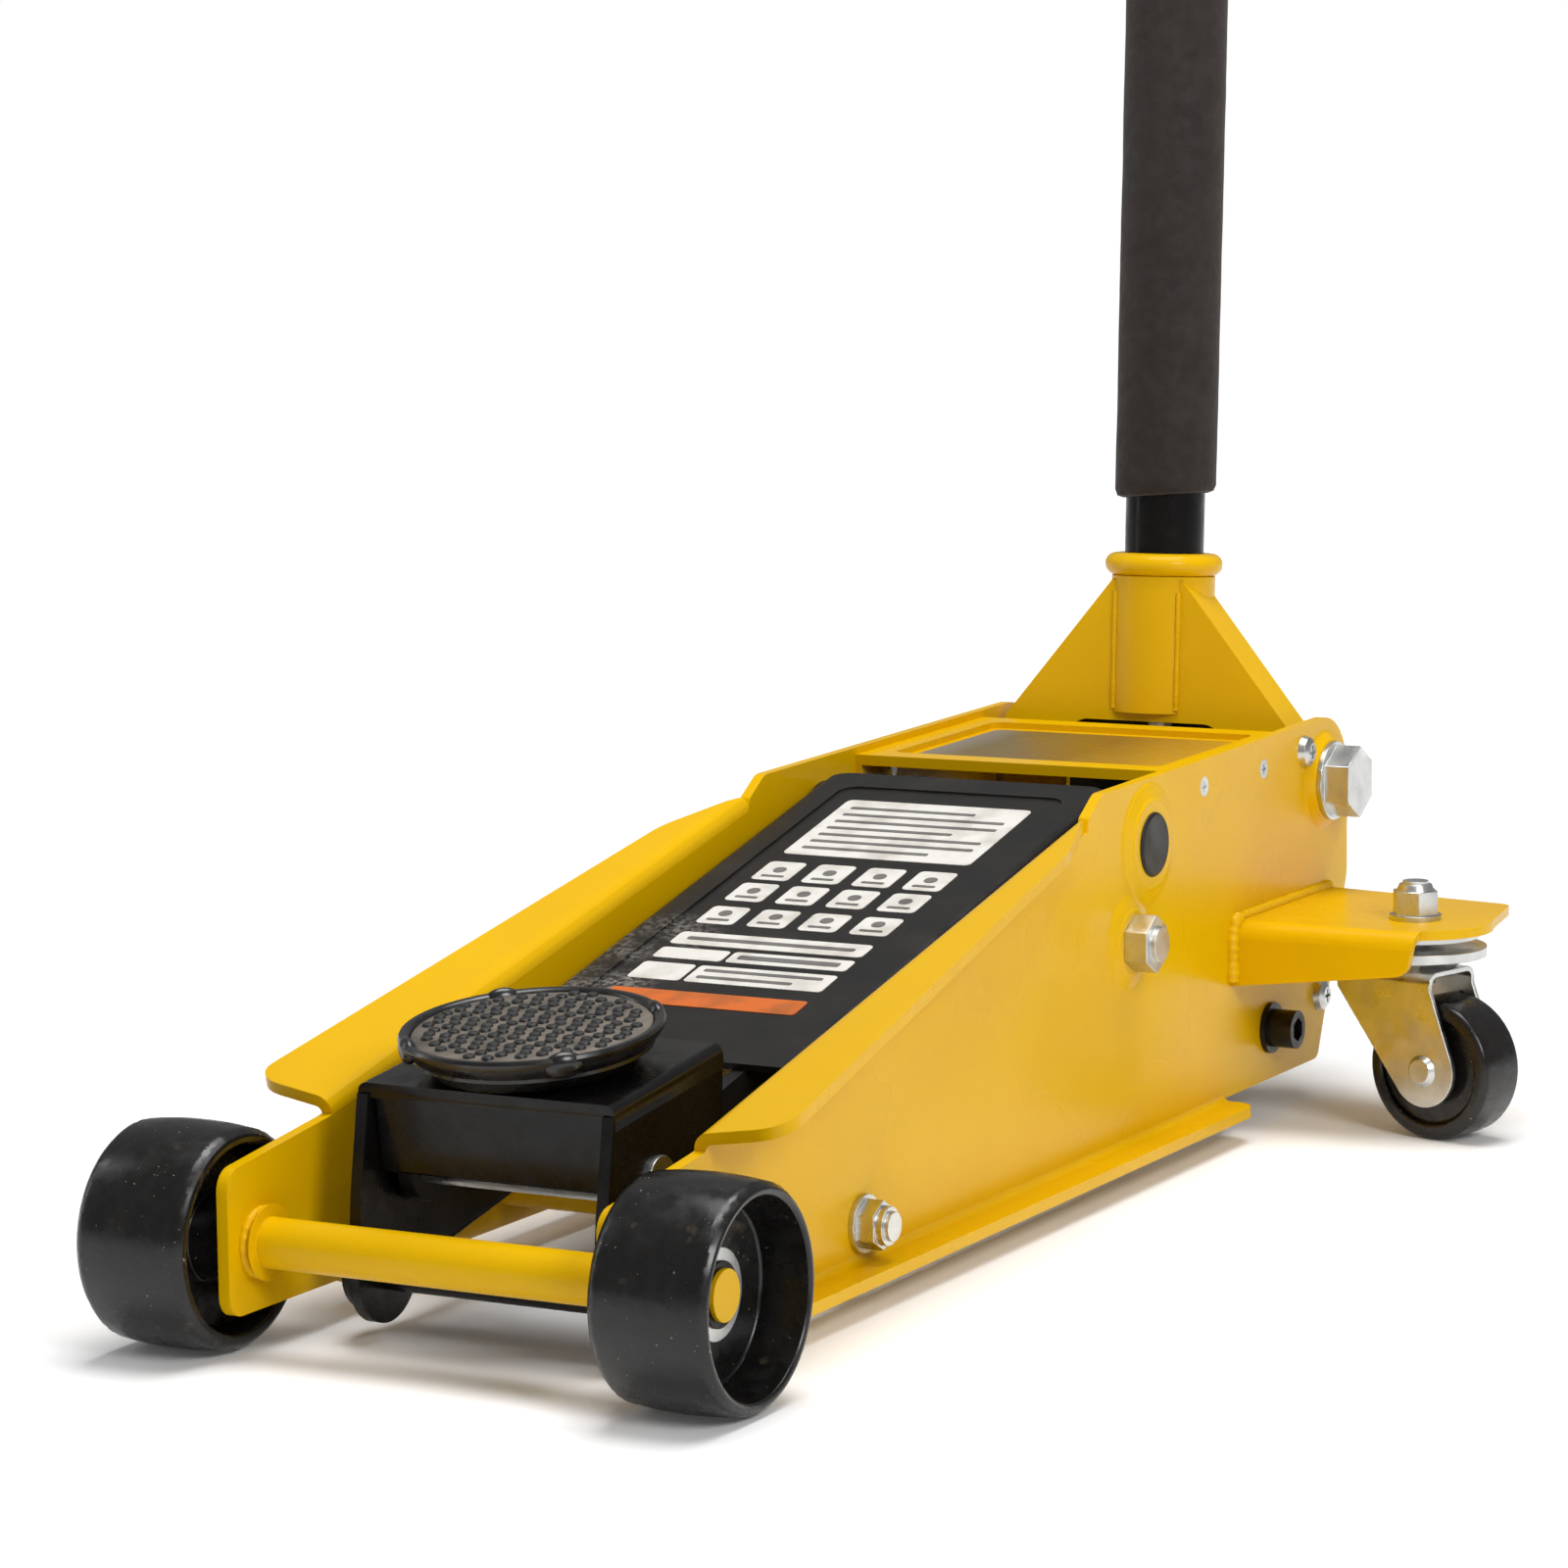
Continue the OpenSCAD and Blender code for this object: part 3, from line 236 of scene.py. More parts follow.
# %% Rubbed powder coat for the arm cover
def rubbed_powder_coat():
    surface = new_material("rubbed_powder_coat", IOR=1.5, Specular_IOR_Level=0.3)
    base = lay_finish(surface, POWDER_TINT, (12, 3.0, 0.3, 0.44), (1.3, 3.0, 0.14, 0.6))
    material, tree, shader, coords = surface
    across, along, _ = add(tree, "ShaderNodeSeparateXYZ", Vector=coords).outputs
    rear = COVER.translation.y
    edges = ((across, -0.022, -0.05), (along, rear - 0.155, rear - 0.19),
             (along, rear - 0.295, rear - 0.26))
    masks = [add(tree, "ShaderNodeMapRange", {"interpolation_type": "SMOOTHSTEP"}, Value=axis,
                 From_Min=start, From_Max=end, To_Min=0.0, To_Max=1.0).outputs[0]
             for axis, start, end in edges]
    for size, detail, low in ((2.4, 5.0, 0.42), (32, 4.0, 0.38)):
        cloud = add(tree, "ShaderNodeTexNoise", Vector=coords, Scale=per_mm(size), Detail=detail)
        masks.append(add(tree, "ShaderNodeValToRGB", {"stops": ((low, BLACK), (0.6, WHITE))},
                         i0=cloud.outputs[0]).outputs[0])
    amount = 0.75
    for mask in masks:
        amount = add(tree, "ShaderNodeMath", {"operation": "MULTIPLY"}, i0=mask,
                     i1=amount).outputs[0]
    colour = add(tree, "ShaderNodeMix", {"data_type": "RGBA"}, i0=amount, i6=base,
                 i7=linear("8F8B86"))
    tree.links.new(colour.outputs[2], shader.inputs["Base Color"])
    return material


RUBBED = rubbed_powder_coat()
print("made", RUBBED.name)

# %% [markdown]
# The saddle bracket and the handle's lower tube have a smooth gloss black stoving enamel. It is
# nearly black, with clear highlights and only faint rub marks. The tube's coat is the thinner one,
# so it mirrors less of the room and looks deeper.

# %% Gloss black enamel
def stoving_enamel(name, coat, mirror):
    surface = new_material(name, IOR=1.5, Coat_Weight=coat, Coat_Roughness=0.1,
                           Specular_IOR_Level=mirror)
    lay_finish(surface, (45, 5.0, (0.4, "0A0909"), (0.75, "151312")), (9, 4.0, 0.18, 0.34),
               (3, 3.0, 0.02, 0.2))
    return surface[0]


GLOSS_BLACK = stoving_enamel("gloss_black_stoving_enamel", 0.1, 0.22)
TUBE_BLACK = stoving_enamel("deep_black_stoving_enamel", 0.03, 0.1)
print("made", GLOSS_BLACK.name, "and", TUBE_BLACK.name)

# %% [markdown]
# Fasteners and caster forks are zinc plated and passivated. Zinc is a pale, slightly bluish grey
# metal with a fine crystalline bloom that makes its roughness cloudy. Socket screws and retaining
# rings are blackened by black oxide: a thin dark skin on bare steel, so it stays metallic with a
# warm charcoal colour.

# %% Zinc plate and black oxide
def plated_steel(name, metallic, tint, gloss):
    surface = new_material(name, Metallic=metallic)
    lay_finish(surface, tint, gloss)
    return surface[0]


ZINC = plated_steel("passivated_zinc_plate", 1.0, (14, 4.0, (0.3, "BDBEBC"), (0.7, "D6D7D4")),
                    (9, 1.0, 0.27, 0.36))
OXIDE = plated_steel("black_oxide_steel", 0.9, (6, 3.0, (0.3, "2A2826"), (0.7, "3B3835")),
                     (2, 3.0, 0.32, 0.48))
print("made", ZINC.name, "and", OXIDE.name)

# %% [markdown]
# The hydraulic block, cylinder and saddle cup are iron castings dipped in black paint. The sand
# mould leaves a pebbled skin, which the gloss paint rounds over.

# %% Painted casting
def painted_casting():
    surface = new_material("black_painted_iron_casting", IOR=1.5, Coat_Weight=0.3,
                           Coat_Roughness=0.14, Specular_IOR_Level=0.4)
    lay_finish(surface, (20, 4.0, (0.35, "0C0B0B"), (0.7, "181615")), (8, 3.0, 0.24, 0.42),
               (2.2, 4.0, 0.12, 0.45))
    return surface[0]


CASTING = painted_casting()
print("made", CASTING.name)

# %% [markdown]
# The ram, the plungers and the upper handle tube are hard chromed and ground. Grinding leaves very
# fine marks across the rod, so a Mapping node squeezes the roughness clouds in two directions.

# %% Hard chrome
def ground_hard_chrome():
    surface = new_material("ground_hard_chrome", Metallic=1.0)
    lay_finish(surface, (25, 3.0, (0.3, "CDCED0"), (0.7, "DCDDDF")))
    material, tree, shader, coords = surface
    squeezed = add(tree, "ShaderNodeMapping", Vector=coords, Scale=(1.0, 12.0, 12.0)).outputs[0]
    lay_finish((material, tree, shader, squeezed), gloss=(9, 3.0, 0.1, 0.2))
    return material


CHROME = ground_hard_chrome()
print("made", CHROME.name)

# %% [markdown]
# The wheels are injection moulded: glass-filled nylon at the front, polyurethane on the casters.
# Both are brown-black with a soft sheen. Rolling round the shop gives them pale dust specks and tan
# scuffs. The specks are drawn over a millimetre across, which is a little coarse, so they show.

# %% Moulded nylon and polyurethane
def moulded_wheel(name, dark, light, rough, scuffs):
    surface = new_material(name, IOR=1.52, Specular_IOR_Level=0.4)
    colour = lay_finish(surface, (35, 4.0, (0.35, dark), (0.7, light)),
                        (7, 5.0, rough, rough + 0.16), (1.5, 4.0, 0.03, 0.4))
    material, tree, shader, coords = surface
    marks = ((1.6, 1.0, 0.76, 0.79, 1.0, "8C8378"), (12, 7.0, 0.66, 0.8, scuffs, "6E5F4C"))
    for size, detail, low, high, share, hex_code in marks:
        cloud = add(tree, "ShaderNodeTexNoise", Vector=coords, Scale=per_mm(size), Detail=detail)
        spots = add(tree, "ShaderNodeValToRGB", {"stops": ((low, BLACK), (high, WHITE))},
                    i0=cloud.outputs[0])
        part = add(tree, "ShaderNodeMath", {"operation": "MULTIPLY"}, i0=spots.outputs[0], i1=share)
        colour = add(tree, "ShaderNodeMix", {"data_type": "RGBA"}, i0=part.outputs[0], i6=colour,
                     i7=linear(hex_code)).outputs[2]
    tree.links.new(colour, shader.inputs["Base Color"])
    return material


NYLON = moulded_wheel("moulded_glass_filled_nylon", "0D0C0B", "161413", 0.2, 0.4)
URETHANE = moulded_wheel("moulded_polyurethane", "0E0C0B", "181513", 0.18, 0.12)
print("made", NYLON.name, "and", URETHANE.name)

# %% [markdown]
# Rubber is matte and slightly grey with bloom. Between the studs of the saddle pad the rubber is
# under pale dust, so that bed has a colour of its own.

# %% Rubber
def rubber(name, tint, gloss):
    surface = new_material(name, IOR=1.5)
    lay_finish(surface, tint, gloss, (0.9, 3.0, 0.05, 0.5))
    return surface[0]


RUBBER = rubber("moulded_rubber", (10, 5.0, (0.3, "111010"), (0.6, "1C1A19"), (0.8, "332F2B")),
                (5, 3.0, 0.45, 0.7))
DUSTY_RUBBER = rubber("dusty_moulded_rubber",
                      (12, 5.0, (0.3, "4A443D"), (0.6, "6A6157"), (0.8, "7D7266")),
                      (5, 3.0, 0.6, 0.8))
print("made", RUBBER.name, "and", DUSTY_RUBBER.name)

# %% [markdown]
# The sleeve is closed-cell foam: thousands of tiny bubbles cut open at the skin, so it scatters
# light with almost no highlight and has a soft sheen. A Voronoi pattern is made of cells, as foam
# is, so its height gives the relief.

# %% Foam
def closed_cell_foam():
    surface = new_material("closed_cell_foam", IOR=1.4, Sheen_Weight=0.25, Sheen_Roughness=0.5,
                           Sheen_Tint=linear("8A8078"))
    lay_finish(surface, (18, 6.0, (0.3, "1C1715"), (0.7, "28211E")), (6, 3.0, 0.72, 0.88))
    material, tree, shader, coords = surface
    cells = add(tree, "ShaderNodeTexVoronoi", Vector=coords, Scale=per_mm(1.3)).outputs[0]
    raised = add(tree, "ShaderNodeBump", Strength=0.6, Distance=0.25 * MM, Height=cells)
    tree.links.new(raised.outputs[0], shader.inputs["Normal"])
    return material


FOAM = closed_cell_foam()
print("made", FOAM.name)

# %% [markdown]
# Labels are screen-printed vinyl: a satin film of one flat ink each. The rating label is a
# metallised film that shades from bronze at its left to gold at its right. Weld metal is under the
# same enamel as its plate, so it needs no material of its own.

# %% Printed vinyl and metallised film
FILM_HALF = 0.066


def printed_vinyl(name, hex_code, hex_worn):
    surface = new_material(name, IOR=1.46)
    lay_finish(surface, (16, 6.0, (0.45, hex_code), (0.75, hex_worn)), (9, 3.0, 0.32, 0.46))
    return surface[0]


def metallised_film():
    surface = new_material("metallised_label_film", Metallic=0.35)
    lay_finish(surface, gloss=(9, 3.0, 0.3, 0.42))
    material, tree, shader, coords = surface
    across = add(tree, "ShaderNodeSeparateXYZ", Vector=coords).outputs[0]
    spread = add(tree, "ShaderNodeMapRange", Value=across, From_Min=-FILM_HALF,
                 From_Max=FILM_HALF, To_Min=0.0, To_Max=1.0)
    stops = ((0.0, "8E8B84"), (0.16, "7C6A3F"), (0.55, "8A6A26"), (1.0, "C79A2C"))
    colour = add(tree, "ShaderNodeValToRGB", {"stops": [(at, linear(c)) for at, c in stops]},
                 i0=spread.outputs[0])
    tree.links.new(colour.outputs[0], shader.inputs["Base Color"])
    return material


WHITE_INK = printed_vinyl("white_vinyl_print", "D9D6D0", "B9B3A8")
GREY_INK = printed_vinyl("grey_vinyl_print", "6C6A67", "55524E")
ORANGE_INK = printed_vinyl("orange_vinyl_print", "C8621C", "97521F")
FILM = metallised_film()
print("materials:", len(bpy.data.materials))

# %% [markdown]
# The record names a material slot for every part. Most parts take their slot's finish, and a few
# have one of their own, such as the rubbed cover.

# %% Which part gets which finish
# The yoke_back_plate part takes the black powder coat of its slot. It is a black sheet in the
# opening at the back of the handle yoke, where there is only shade, so its black is painted shade.
SLOT_MATERIAL = {"yellow_paint": ENAMEL, "black_paint": POWDER, "zinc_plate": ZINC,
                 "dark_steel": OXIDE, "cast_iron": CASTING, "chrome": CHROME,
                 "black_plastic": NYLON, "rubber": RUBBER, "foam": FOAM}
SPECIAL = {"arm_cover": RUBBED, "handle_lower_tube": TUBE_BLACK, "saddle_bracket": GLOSS_BLACK,
           "bracket_front_plate": GLOSS_BLACK, "link_pin": GLOSS_BLACK,
           "caster_wheel_right": URETHANE, "caster_wheel_left": URETHANE}
print("slots:", sorted(set(SLOT_OF.values())))

# %% [markdown]
# A real pressed or turned part has no perfectly sharp edge. Each hard part is therefore copied, its
# loose triangles are merged, and a bevel modifier rounds the edges that turn more than 32 degrees.
# Smooth shading hides the facets of round parts, and weighted normals keep the large flat faces
# flat beside them. The width is the real radius of such an edge.

# %% Rounded edges for the hard parts
EDGE_TURN = math.radians(32)
MERGE = 0.02 * MM
SMALL_RADIUS = 0.35
RADII = {"side_plate_right": 0.9, "side_plate_left": 0.9, "top_cover": 1.0, "arm_cover": 1.2,
         "caster_bracket_right": 1.0, "caster_bracket_left": 1.0, "saddle_bracket": 1.4,
         "bracket_front_plate": 1.0, "yoke_frame": 0.9, "arm_side_plates": 0.9,
         "caster_fork_right": 0.4, "caster_fork_left": 0.4, "pump_block": 1.5,
         "front_wheel_right": 0.8, "front_wheel_left": 0.8,
         "caster_wheel_right": 0.8, "caster_wheel_left": 0.8, "leveling_rod_right": 0.6,
         "leveling_rod_left": 0.6}
MADE_BELOW = {"saddle_pad", "saddle_cup", "foam_sleeve", "handle_grip"}


def new_piece(name, mesh, body, material):
    """Puts a finished mesh in the scene, on its body and with its finish."""
    obj = bpy.data.objects.new(name, mesh)
    bpy.context.collection.objects.link(obj)
    mesh.materials.clear()
    mesh.materials.append(material)
    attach(obj, body)
    return obj


def dress(name, radius):
    """Replaces a hard part with a merged, smooth-shaded copy whose edges are rounded."""
    mesh = nodes[name].data.copy()
    bm = bmesh.new()
    bm.from_mesh(mesh)
    bmesh.ops.remove_doubles(bm, verts=bm.verts, dist=MERGE)
    bmesh.ops.dissolve_limit(bm, angle_limit=math.radians(0.6), verts=bm.verts, edges=bm.edges)
    for face in bm.faces:
        face.smooth = True
    bm.to_mesh(mesh)
    bm.free()
    mesh.set_sharp_from_angle(angle=EDGE_TURN)
    slot = SLOT_OF[name]
    obj = new_piece(name + "_dressed", mesh, BODY_OF[name],
                    SPECIAL.get(name, SLOT_MATERIAL[slot]))
    bevel = obj.modifiers.new("rounded_edges", "BEVEL")
    bevel.width = radius * MM
    bevel.segments = 2
    bevel.limit_method = "ANGLE"
    bevel.angle_limit = EDGE_TURN
    bevel.harden_normals = True
    shading = obj.modifiers.new("flat_faces_stay_flat", "WEIGHTED_NORMAL")
    shading.keep_sharp = True
    shading.weight = 100
    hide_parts(name)


for name in nodes:
    if name not in MADE_BELOW:
        dress(name, RADII.get(name, SMALL_RADIUS))
print("dressed parts:", len(nodes) - len(MADE_BELOW))

# %% [markdown]
# Round pieces are spun: a section of a few points is swept about an axis. The sweep closes on
# itself, so its first and last rings are merged, and then the normals are turned outwards. The
# finished mesh is laid in its place by a matrix, and its object stays at the origin.

# %% Spinning a section
def spun(bm, section, steps=64):
    """Spins a section of (radius, height) points in metres about Z into a closed shape."""
    verts = [bm.verts.new((r, 0, z)) for r, z in section]
    edges = [bm.edges.new(pair) for pair in zip(verts, verts[1:])]
    bmesh.ops.spin(bm, geom=verts + edges, axis=(0, 0, 1), cent=(0, 0, 0), steps=steps,
                   angle=math.tau, use_merge=True)
    bmesh.ops.remove_doubles(bm, verts=bm.verts, dist=0.005 * MM)


def finish_mesh(bm, name, matrix):
    """Turns the normals outwards, lays the mesh in its place and shades it smooth."""
    bmesh.ops.recalc_face_normals(bm, faces=bm.faces)
    for face in bm.faces:
        face.smooth = True
    bmesh.ops.transform(bm, matrix=matrix, verts=bm.verts)
    mesh = bpy.data.meshes.new(name)
    bm.to_mesh(mesh)
    bm.free()
    mesh.set_sharp_from_angle(angle=math.radians(40))
    print(name, "has", len(mesh.polygons), "faces")
    return mesh


# %% [markdown]
# The pad that carries the load is a rubber disc moulded with round studs. The disc is spun from its
# section, and dust collects on it between the studs.

# %% Bed of the saddle pad
def saddle_pad_bed():
    bm = bmesh.new()
    section = [(0, 7.1), (46.8, 7.1), (47, 15.2), (46, 15.9), (0, 15.9)]
    spun(bm, [(r * MM, z * MM) for r, z in section])
    piece = new_piece("saddle_pad_bed", finish_mesh(bm, "saddle_pad_bed", SEAT), "saddle",
                      DUSTY_RUBBER)
    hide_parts("saddle_pad")


saddle_pad_bed()

# %% [markdown]
# The studs stand in rows that wave slightly, as the mould was cut. There are over a hundred, so
# each is only a short cone of 14 sides with a softened top.

# %% Studs of the saddle pad
STUD_REACH, STUD_Z, STUD_H = 43.8, 16.4, 1.4
ROW_PITCH, STUD_PITCH, WAVE = 8.2, 5.4, 1.8


def saddle_pad_studs():
    bm = bmesh.new()
    count = 0
    for row in range(-6, 7):
        for step in range(-9, 10):
            y = step * STUD_PITCH
            x = row * ROW_PITCH + WAVE * math.sin(y * 0.33 + row * 0.5)
            if math.hypot(x, y) < STUD_REACH:
                bmesh.ops.create_cone(
                    bm, cap_ends=True, segments=14, radius1=2.6 * MM, radius2=2.1 * MM,
                    depth=STUD_H * MM, matrix=Matrix.Translation(Vector((x, y, STUD_Z)) * MM))
                count += 1
    rim_z = (STUD_Z + STUD_H / 2 - 0.2) * MM
    bmesh.ops.bevel(bm, geom=[e for e in bm.edges if min(v.co.z for v in e.verts) > rim_z],
                    offset=0.4 * MM, segments=2, profile=0.5, affect="EDGES", material=-1)
    new_piece("saddle_pad_studs", finish_mesh(bm, "saddle_pad_studs", SEAT), "saddle",
              RUBBER)
    print("studs:", count)


saddle_pad_studs()

# %% [markdown]
# The saddle cup is a shallow iron casting that flares from its stem to a rounded rim, with four low
# lugs that keep a load from sliding off. Its section is spun, and each lug is a flattened ball sunk
# into the rim, because a casting's lugs have soft shoulders.

# %% Saddle cup
def saddle_cup():
    bm = bmesh.new()
    section = [(0, -24), (10.5, -24), (12, -22.5), (12, 0.2), (37, 0.2), (40, 1.2), (45.5, 6.5),
               (50, 11.5), (51.7, 14), (52.1, 15.6), (51.4, 16.8), (50, 17), (48.4, 16.4),
               (47.3, 14.8), (47.2, 7), (0, 7)]
    spun(bm, [(r * MM, z * MM) for r, z in section], 96)
    lug = Matrix.Translation(Vector((49.5, 0, 13.5)) * MM) @ Matrix.Diagonal(
        (3.4 * MM, 7.8 * MM, 5.2 * MM, 1))
    for i in range(4):
        turn = Matrix.Rotation(math.radians(45 + 90 * i), 4, "Z")
        bmesh.ops.create_uvsphere(bm, u_segments=24, v_segments=16, radius=1, matrix=turn @ lug)
    piece = new_piece("saddle_cup_cast", finish_mesh(bm, "saddle_cup_cast", SEAT), "saddle",
                      CASTING)
    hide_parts("saddle_cup")


saddle_cup()

# %% [markdown]
# The sleeve and the grip are pushed over the handle, so they are spun about the handle's axis. Their
# ends along that axis come from their boxes: a tube that leans stands lower at its rim by its
# radius times the sine of the lean.

# %% Ends of a piece along the handle
def along_handle(name):
    """Start and end of a round part along the handle's axis, and its radius."""
    low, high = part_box(name)
    radius, tilt, pivot = high[0], math.radians(LEAN), joint_at("pump").z
    start = (low[2] - pivot + radius * math.sin(tilt)) / math.cos(tilt)
    end = (high[2] - pivot - radius * math.sin(tilt)) / math.cos(tilt)
    return start, end, radius


print("sleeve along the handle:", along_handle("foam_sleeve"))

# %% [markdown]
# The foam sleeve is a soft tube. Its ends are rounded, its lower end was cut a little askew, and
# its surface swells and dips by a fraction of a millimetre. The swell is noise added to the radius.

# %% Foam sleeve
def foam_sleeve():
    start, end, radius = along_handle("foam_sleeve")
    outer, inner = radius - 0.2 * MM, 19.27 * MM
    curl = [(4 * MM, 0), (1.2 * MM, 1 * MM), (0, 4 * MM)]           # rounding of an end
    body = (end - start - 8 * MM) / 90
    section = [(inner, start)] + [(outer - back, start + up) for back, up in curl]
    section += [(outer, start + 4 * MM + body * i) for i in range(1, 91)]
    section += [(outer - back, end - up) for back, up in curl[1::-1]]
    section += [(inner, end), (inner, start)]
    bm = bmesh.new()
    spun(bm, section, 72)
    for vert in bm.verts:
        r = math.hypot(vert.co.x, vert.co.y)
        if r > inner + 1 * MM:
            swell = 0.22 * noise.noise(vert.co * 38) + 0.12 * noise.noise(vert.co * 120)
            vert.co.xy = vert.co.xy * (1 + swell * MM / r)
        near = max(0.0, 1 - (vert.co.z - start) / (20 * MM))
        vert.co.z += near * 0.08 * vert.co.x
    piece = new_piece("foam_sleeve_soft", finish_mesh(bm, "foam_sleeve_soft", HANDLE),
                      "handle", FOAM)
    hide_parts("foam_sleeve")


foam_sleeve()

# %% [markdown]
# The hand grip is moulded rubber with round ribs, spun from one wavy section. The ribs are 6 mm
# apart, which is what a palm holds well.

# %% Ribbed grip
def hand_grip():
    start, end, _ = along_handle("handle_grip")
    inner, middle, rib, pitch, steps = 16.7 * MM, 19.8 * MM, 0.9 * MM, 6 * MM, 160
    section = [(inner, start), (18.5 * MM, start)]
    for i in range(steps):
        z = start + 1 * MM + (end - start - 8 * MM) * i / (steps - 1)
        section.append((middle + rib * math.cos(math.tau * z / pitch), z))
    section += [(19.5 * MM, end - 4 * MM), (16 * MM, end), (0, end), (0, end - 4 * MM),
                (inner, end - 4 * MM), (inner, start)]
    bm = bmesh.new()
    spun(bm, section, 48)
    piece = new_piece("hand_grip_ribbed", finish_mesh(bm, "hand_grip_ribbed", HANDLE),
                      "handle", RUBBER)
    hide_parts("handle_grip")


hand_grip()

# %% [markdown]
# A weld bead is a row of overlapping ripples. A curve with a round section carries a radius at each
# point, so raising and lowering that radius every few millimetres makes the ripples. The curve is
# turned into a mesh at once.

# %% How a bead is laid
BEAD_STEP = 0.8 * MM


def weld_bead(name, points, radius, body, closed=False):
    """Lays a rippled bead of this radius in mm through the points."""
    curve = bpy.data.curves.new(name, "CURVE")
    curve.dimensions = "3D"
    curve.bevel_depth = radius * MM
    curve.bevel_resolution = 3
    curve.use_fill_caps = True
    spline = curve.splines.new("POLY")
    dense = []
    for a, b in zip(points, points[1:]):
        steps = max(1, round((b - a).length / BEAD_STEP))
        dense += [a.lerp(b, i / steps) for i in range(steps)]
    if not closed:
        dense.append(points[-1])
    spline.points.add(len(dense) - 1)
    spline.use_cyclic_u = closed
    for i, (point, co) in enumerate(zip(spline.points, dense)):
        point.co = (*co, 1)
        point.radius = 0.9 + 0.07 * math.cos(i * 1.3) + 0.22 * noise.noise(co * 150)
    holder = bpy.data.objects.new(name, curve)
    mesh = bpy.data.meshes.new_from_object(holder)
    mesh.name = name
    bpy.data.objects.remove(holder)
    for polygon in mesh.polygons:
        polygon.use_smooth = True
    new_piece(name, mesh, body, ENAMEL)
    print(name, "has", len(dense), "rings")


# %% [markdown]
# Each caster bracket is welded to its side plate along its top and down its front. The bead sits in
# the corner between the two, a little outside the bracket's own box.

# %% Beads on the caster brackets
bracket_low, bracket_high = (Vector(c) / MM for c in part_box("caster_bracket_right"))
seam_x, seam_z = bracket_low.x + 0.7, bracket_high.z + 0.6
seam_start, seam_end = bracket_low.y + 7, bracket_high.y - 1
front_y = bracket_low.y - 0.6
for side, label in ((1, "right"), (-1, "left")):
    top = [(seam_start, seam_z), (seam_end, seam_z)]
    front = [(front_y, bracket_low.z + 2.5), (front_y, bracket_high.z - 8),
             (bracket_low.y + 2.5, bracket_high.z - 0.4), (seam_start, seam_z)]
    weld_bead(f"bracket_top_weld_{label}",
              [Vector((side * seam_x, y, z)) * MM for y, z in top], 2.9, "chassis")
    weld_bead(f"bracket_front_weld_{label}",
              [Vector((side * seam_x, y, z)) * MM for y, z in front], 3.8, "chassis")

# %% [markdown]
# The front axle passes through both side plates and is welded to them on the inside, all the way
# round. The two edges of the handle's socket are welded to the yoke's web.

# %% Beads on the axle and the socket
axle = joint_at("front_wheel_spin_r") / MM
plate_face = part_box("side_plate_right")[0][0] / MM
ring_r = 12.2
for side, label in ((1, "right"), (-1, "left")):
    ring = [(math.cos(math.tau * i / 24), math.sin(math.tau * i / 24)) for i in range(25)]
    weld_bead(f"axle_weld_{label}",
              [Vector((side * (plate_face - 0.6), axle.y + ring_r * c, axle.z + ring_r * s)) * MM
               for c, s in ring], 2.4, "chassis", closed=True)
socket_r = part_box("yoke_tube")[1][0] / MM
web_y = 19                                  # mm, the yoke's web in front of the handle's axis
for side, label in ((1, "right"), (-1, "left")):
    x = side * math.sqrt(socket_r ** 2 - web_y ** 2)
    weld_bead(f"socket_weld_{label}",
              [HANDLE @ (Vector((x, -web_y - 0.4, z)) * MM) for z in (31, 88)], 1.4, "handle_yoke")

# %% [markdown]
# The labels are thin films. Each is a rounded card: one square is scaled to size, its corners are
# bevelled, and it gets a thickness of a quarter of a millimetre. A label is many such cards.

# %% Rounded cards
def card(bm, x0, x1, y0, y1, z, corner, thick=0.25):
    """A rounded card, in millimetres, whose top is at height z + thick."""
    made = bmesh.ops.create_grid(
        bm, x_segments=1, y_segments=1, size=0.5,
        matrix=Matrix.Translation(((x0 + x1) / 2 * MM, (y0 + y1) / 2 * MM, (z + thick) * MM))
        @ Matrix.Diagonal(((x1 - x0) * MM, (y1 - y0) * MM, 1, 1)))
    bmesh.ops.bevel(bm, geom=made["verts"], offset=corner * MM, affect="VERTICES", segments=4,
                    profile=0.5, material=-1)
    bmesh.ops.solidify(bm, geom=bm.faces[:], thickness=thick * MM)


def label_piece(name, cards, z, matrix, body, material):
    """One piece made of cards of (x0, x1, y0, y1, corner) in millimetres."""
    bm = bmesh.new()
    for x0, x1, y0, y1, corner in cards:
        one = bmesh.new()
        card(one, x0, x1, y0, y1, z, corner)
        flat = bpy.data.meshes.new("card")
        one.to_mesh(flat)
        one.free()
        bm.from_mesh(flat)
        bpy.data.meshes.remove(flat)
    new_piece(name, finish_mesh(bm, name, matrix), body, material)


# %% [markdown]
# The arm's label is 92 mm wide and runs down the cover: a panel of lines, three rows of small
# picture boxes, a wide strip, two rows of a narrow and a wide box, and an orange stripe. The boxes
# carry plain bars and dots only. Distances are measured from the cover's rear edge.

# %% Label on the arm
EDGE = 46                                   # half the label's width
white = [(-EDGE, EDGE, -97, -31, 3)]
marks = [(-40, 40 if i % 3 else 22, -90 + i * 8, -87.4 + i * 8, 0.8) for i in range(7)]
for y0, y1 in ((-127.5, -106.5), (-152, -132), (-178, -159)):
    for i in range(4):
        x0 = -EDGE + i * 24.6
        middle = x0 + 9.1
        white.append((x0, x0 + 18.2, y0, y1, 2.5))
        marks.append((middle - 5.5, middle + 5.5, y0 + 3.4, y0 + 5.4, 0.9))
        marks.append((middle - 3, middle + 3, y0 + 8.5, y0 + 14.5, 2.7))
white.append((-EDGE, EDGE, -201, -188, 2.5))
marks.append((-40, 40, -196, -193, 1))
for y0, y1, split in ((-216, -205, -13), (-238, -221, -21)):
    white += [(-EDGE, split, y0, y1, 2), (split + 2, EDGE, y0, y1, 2)]
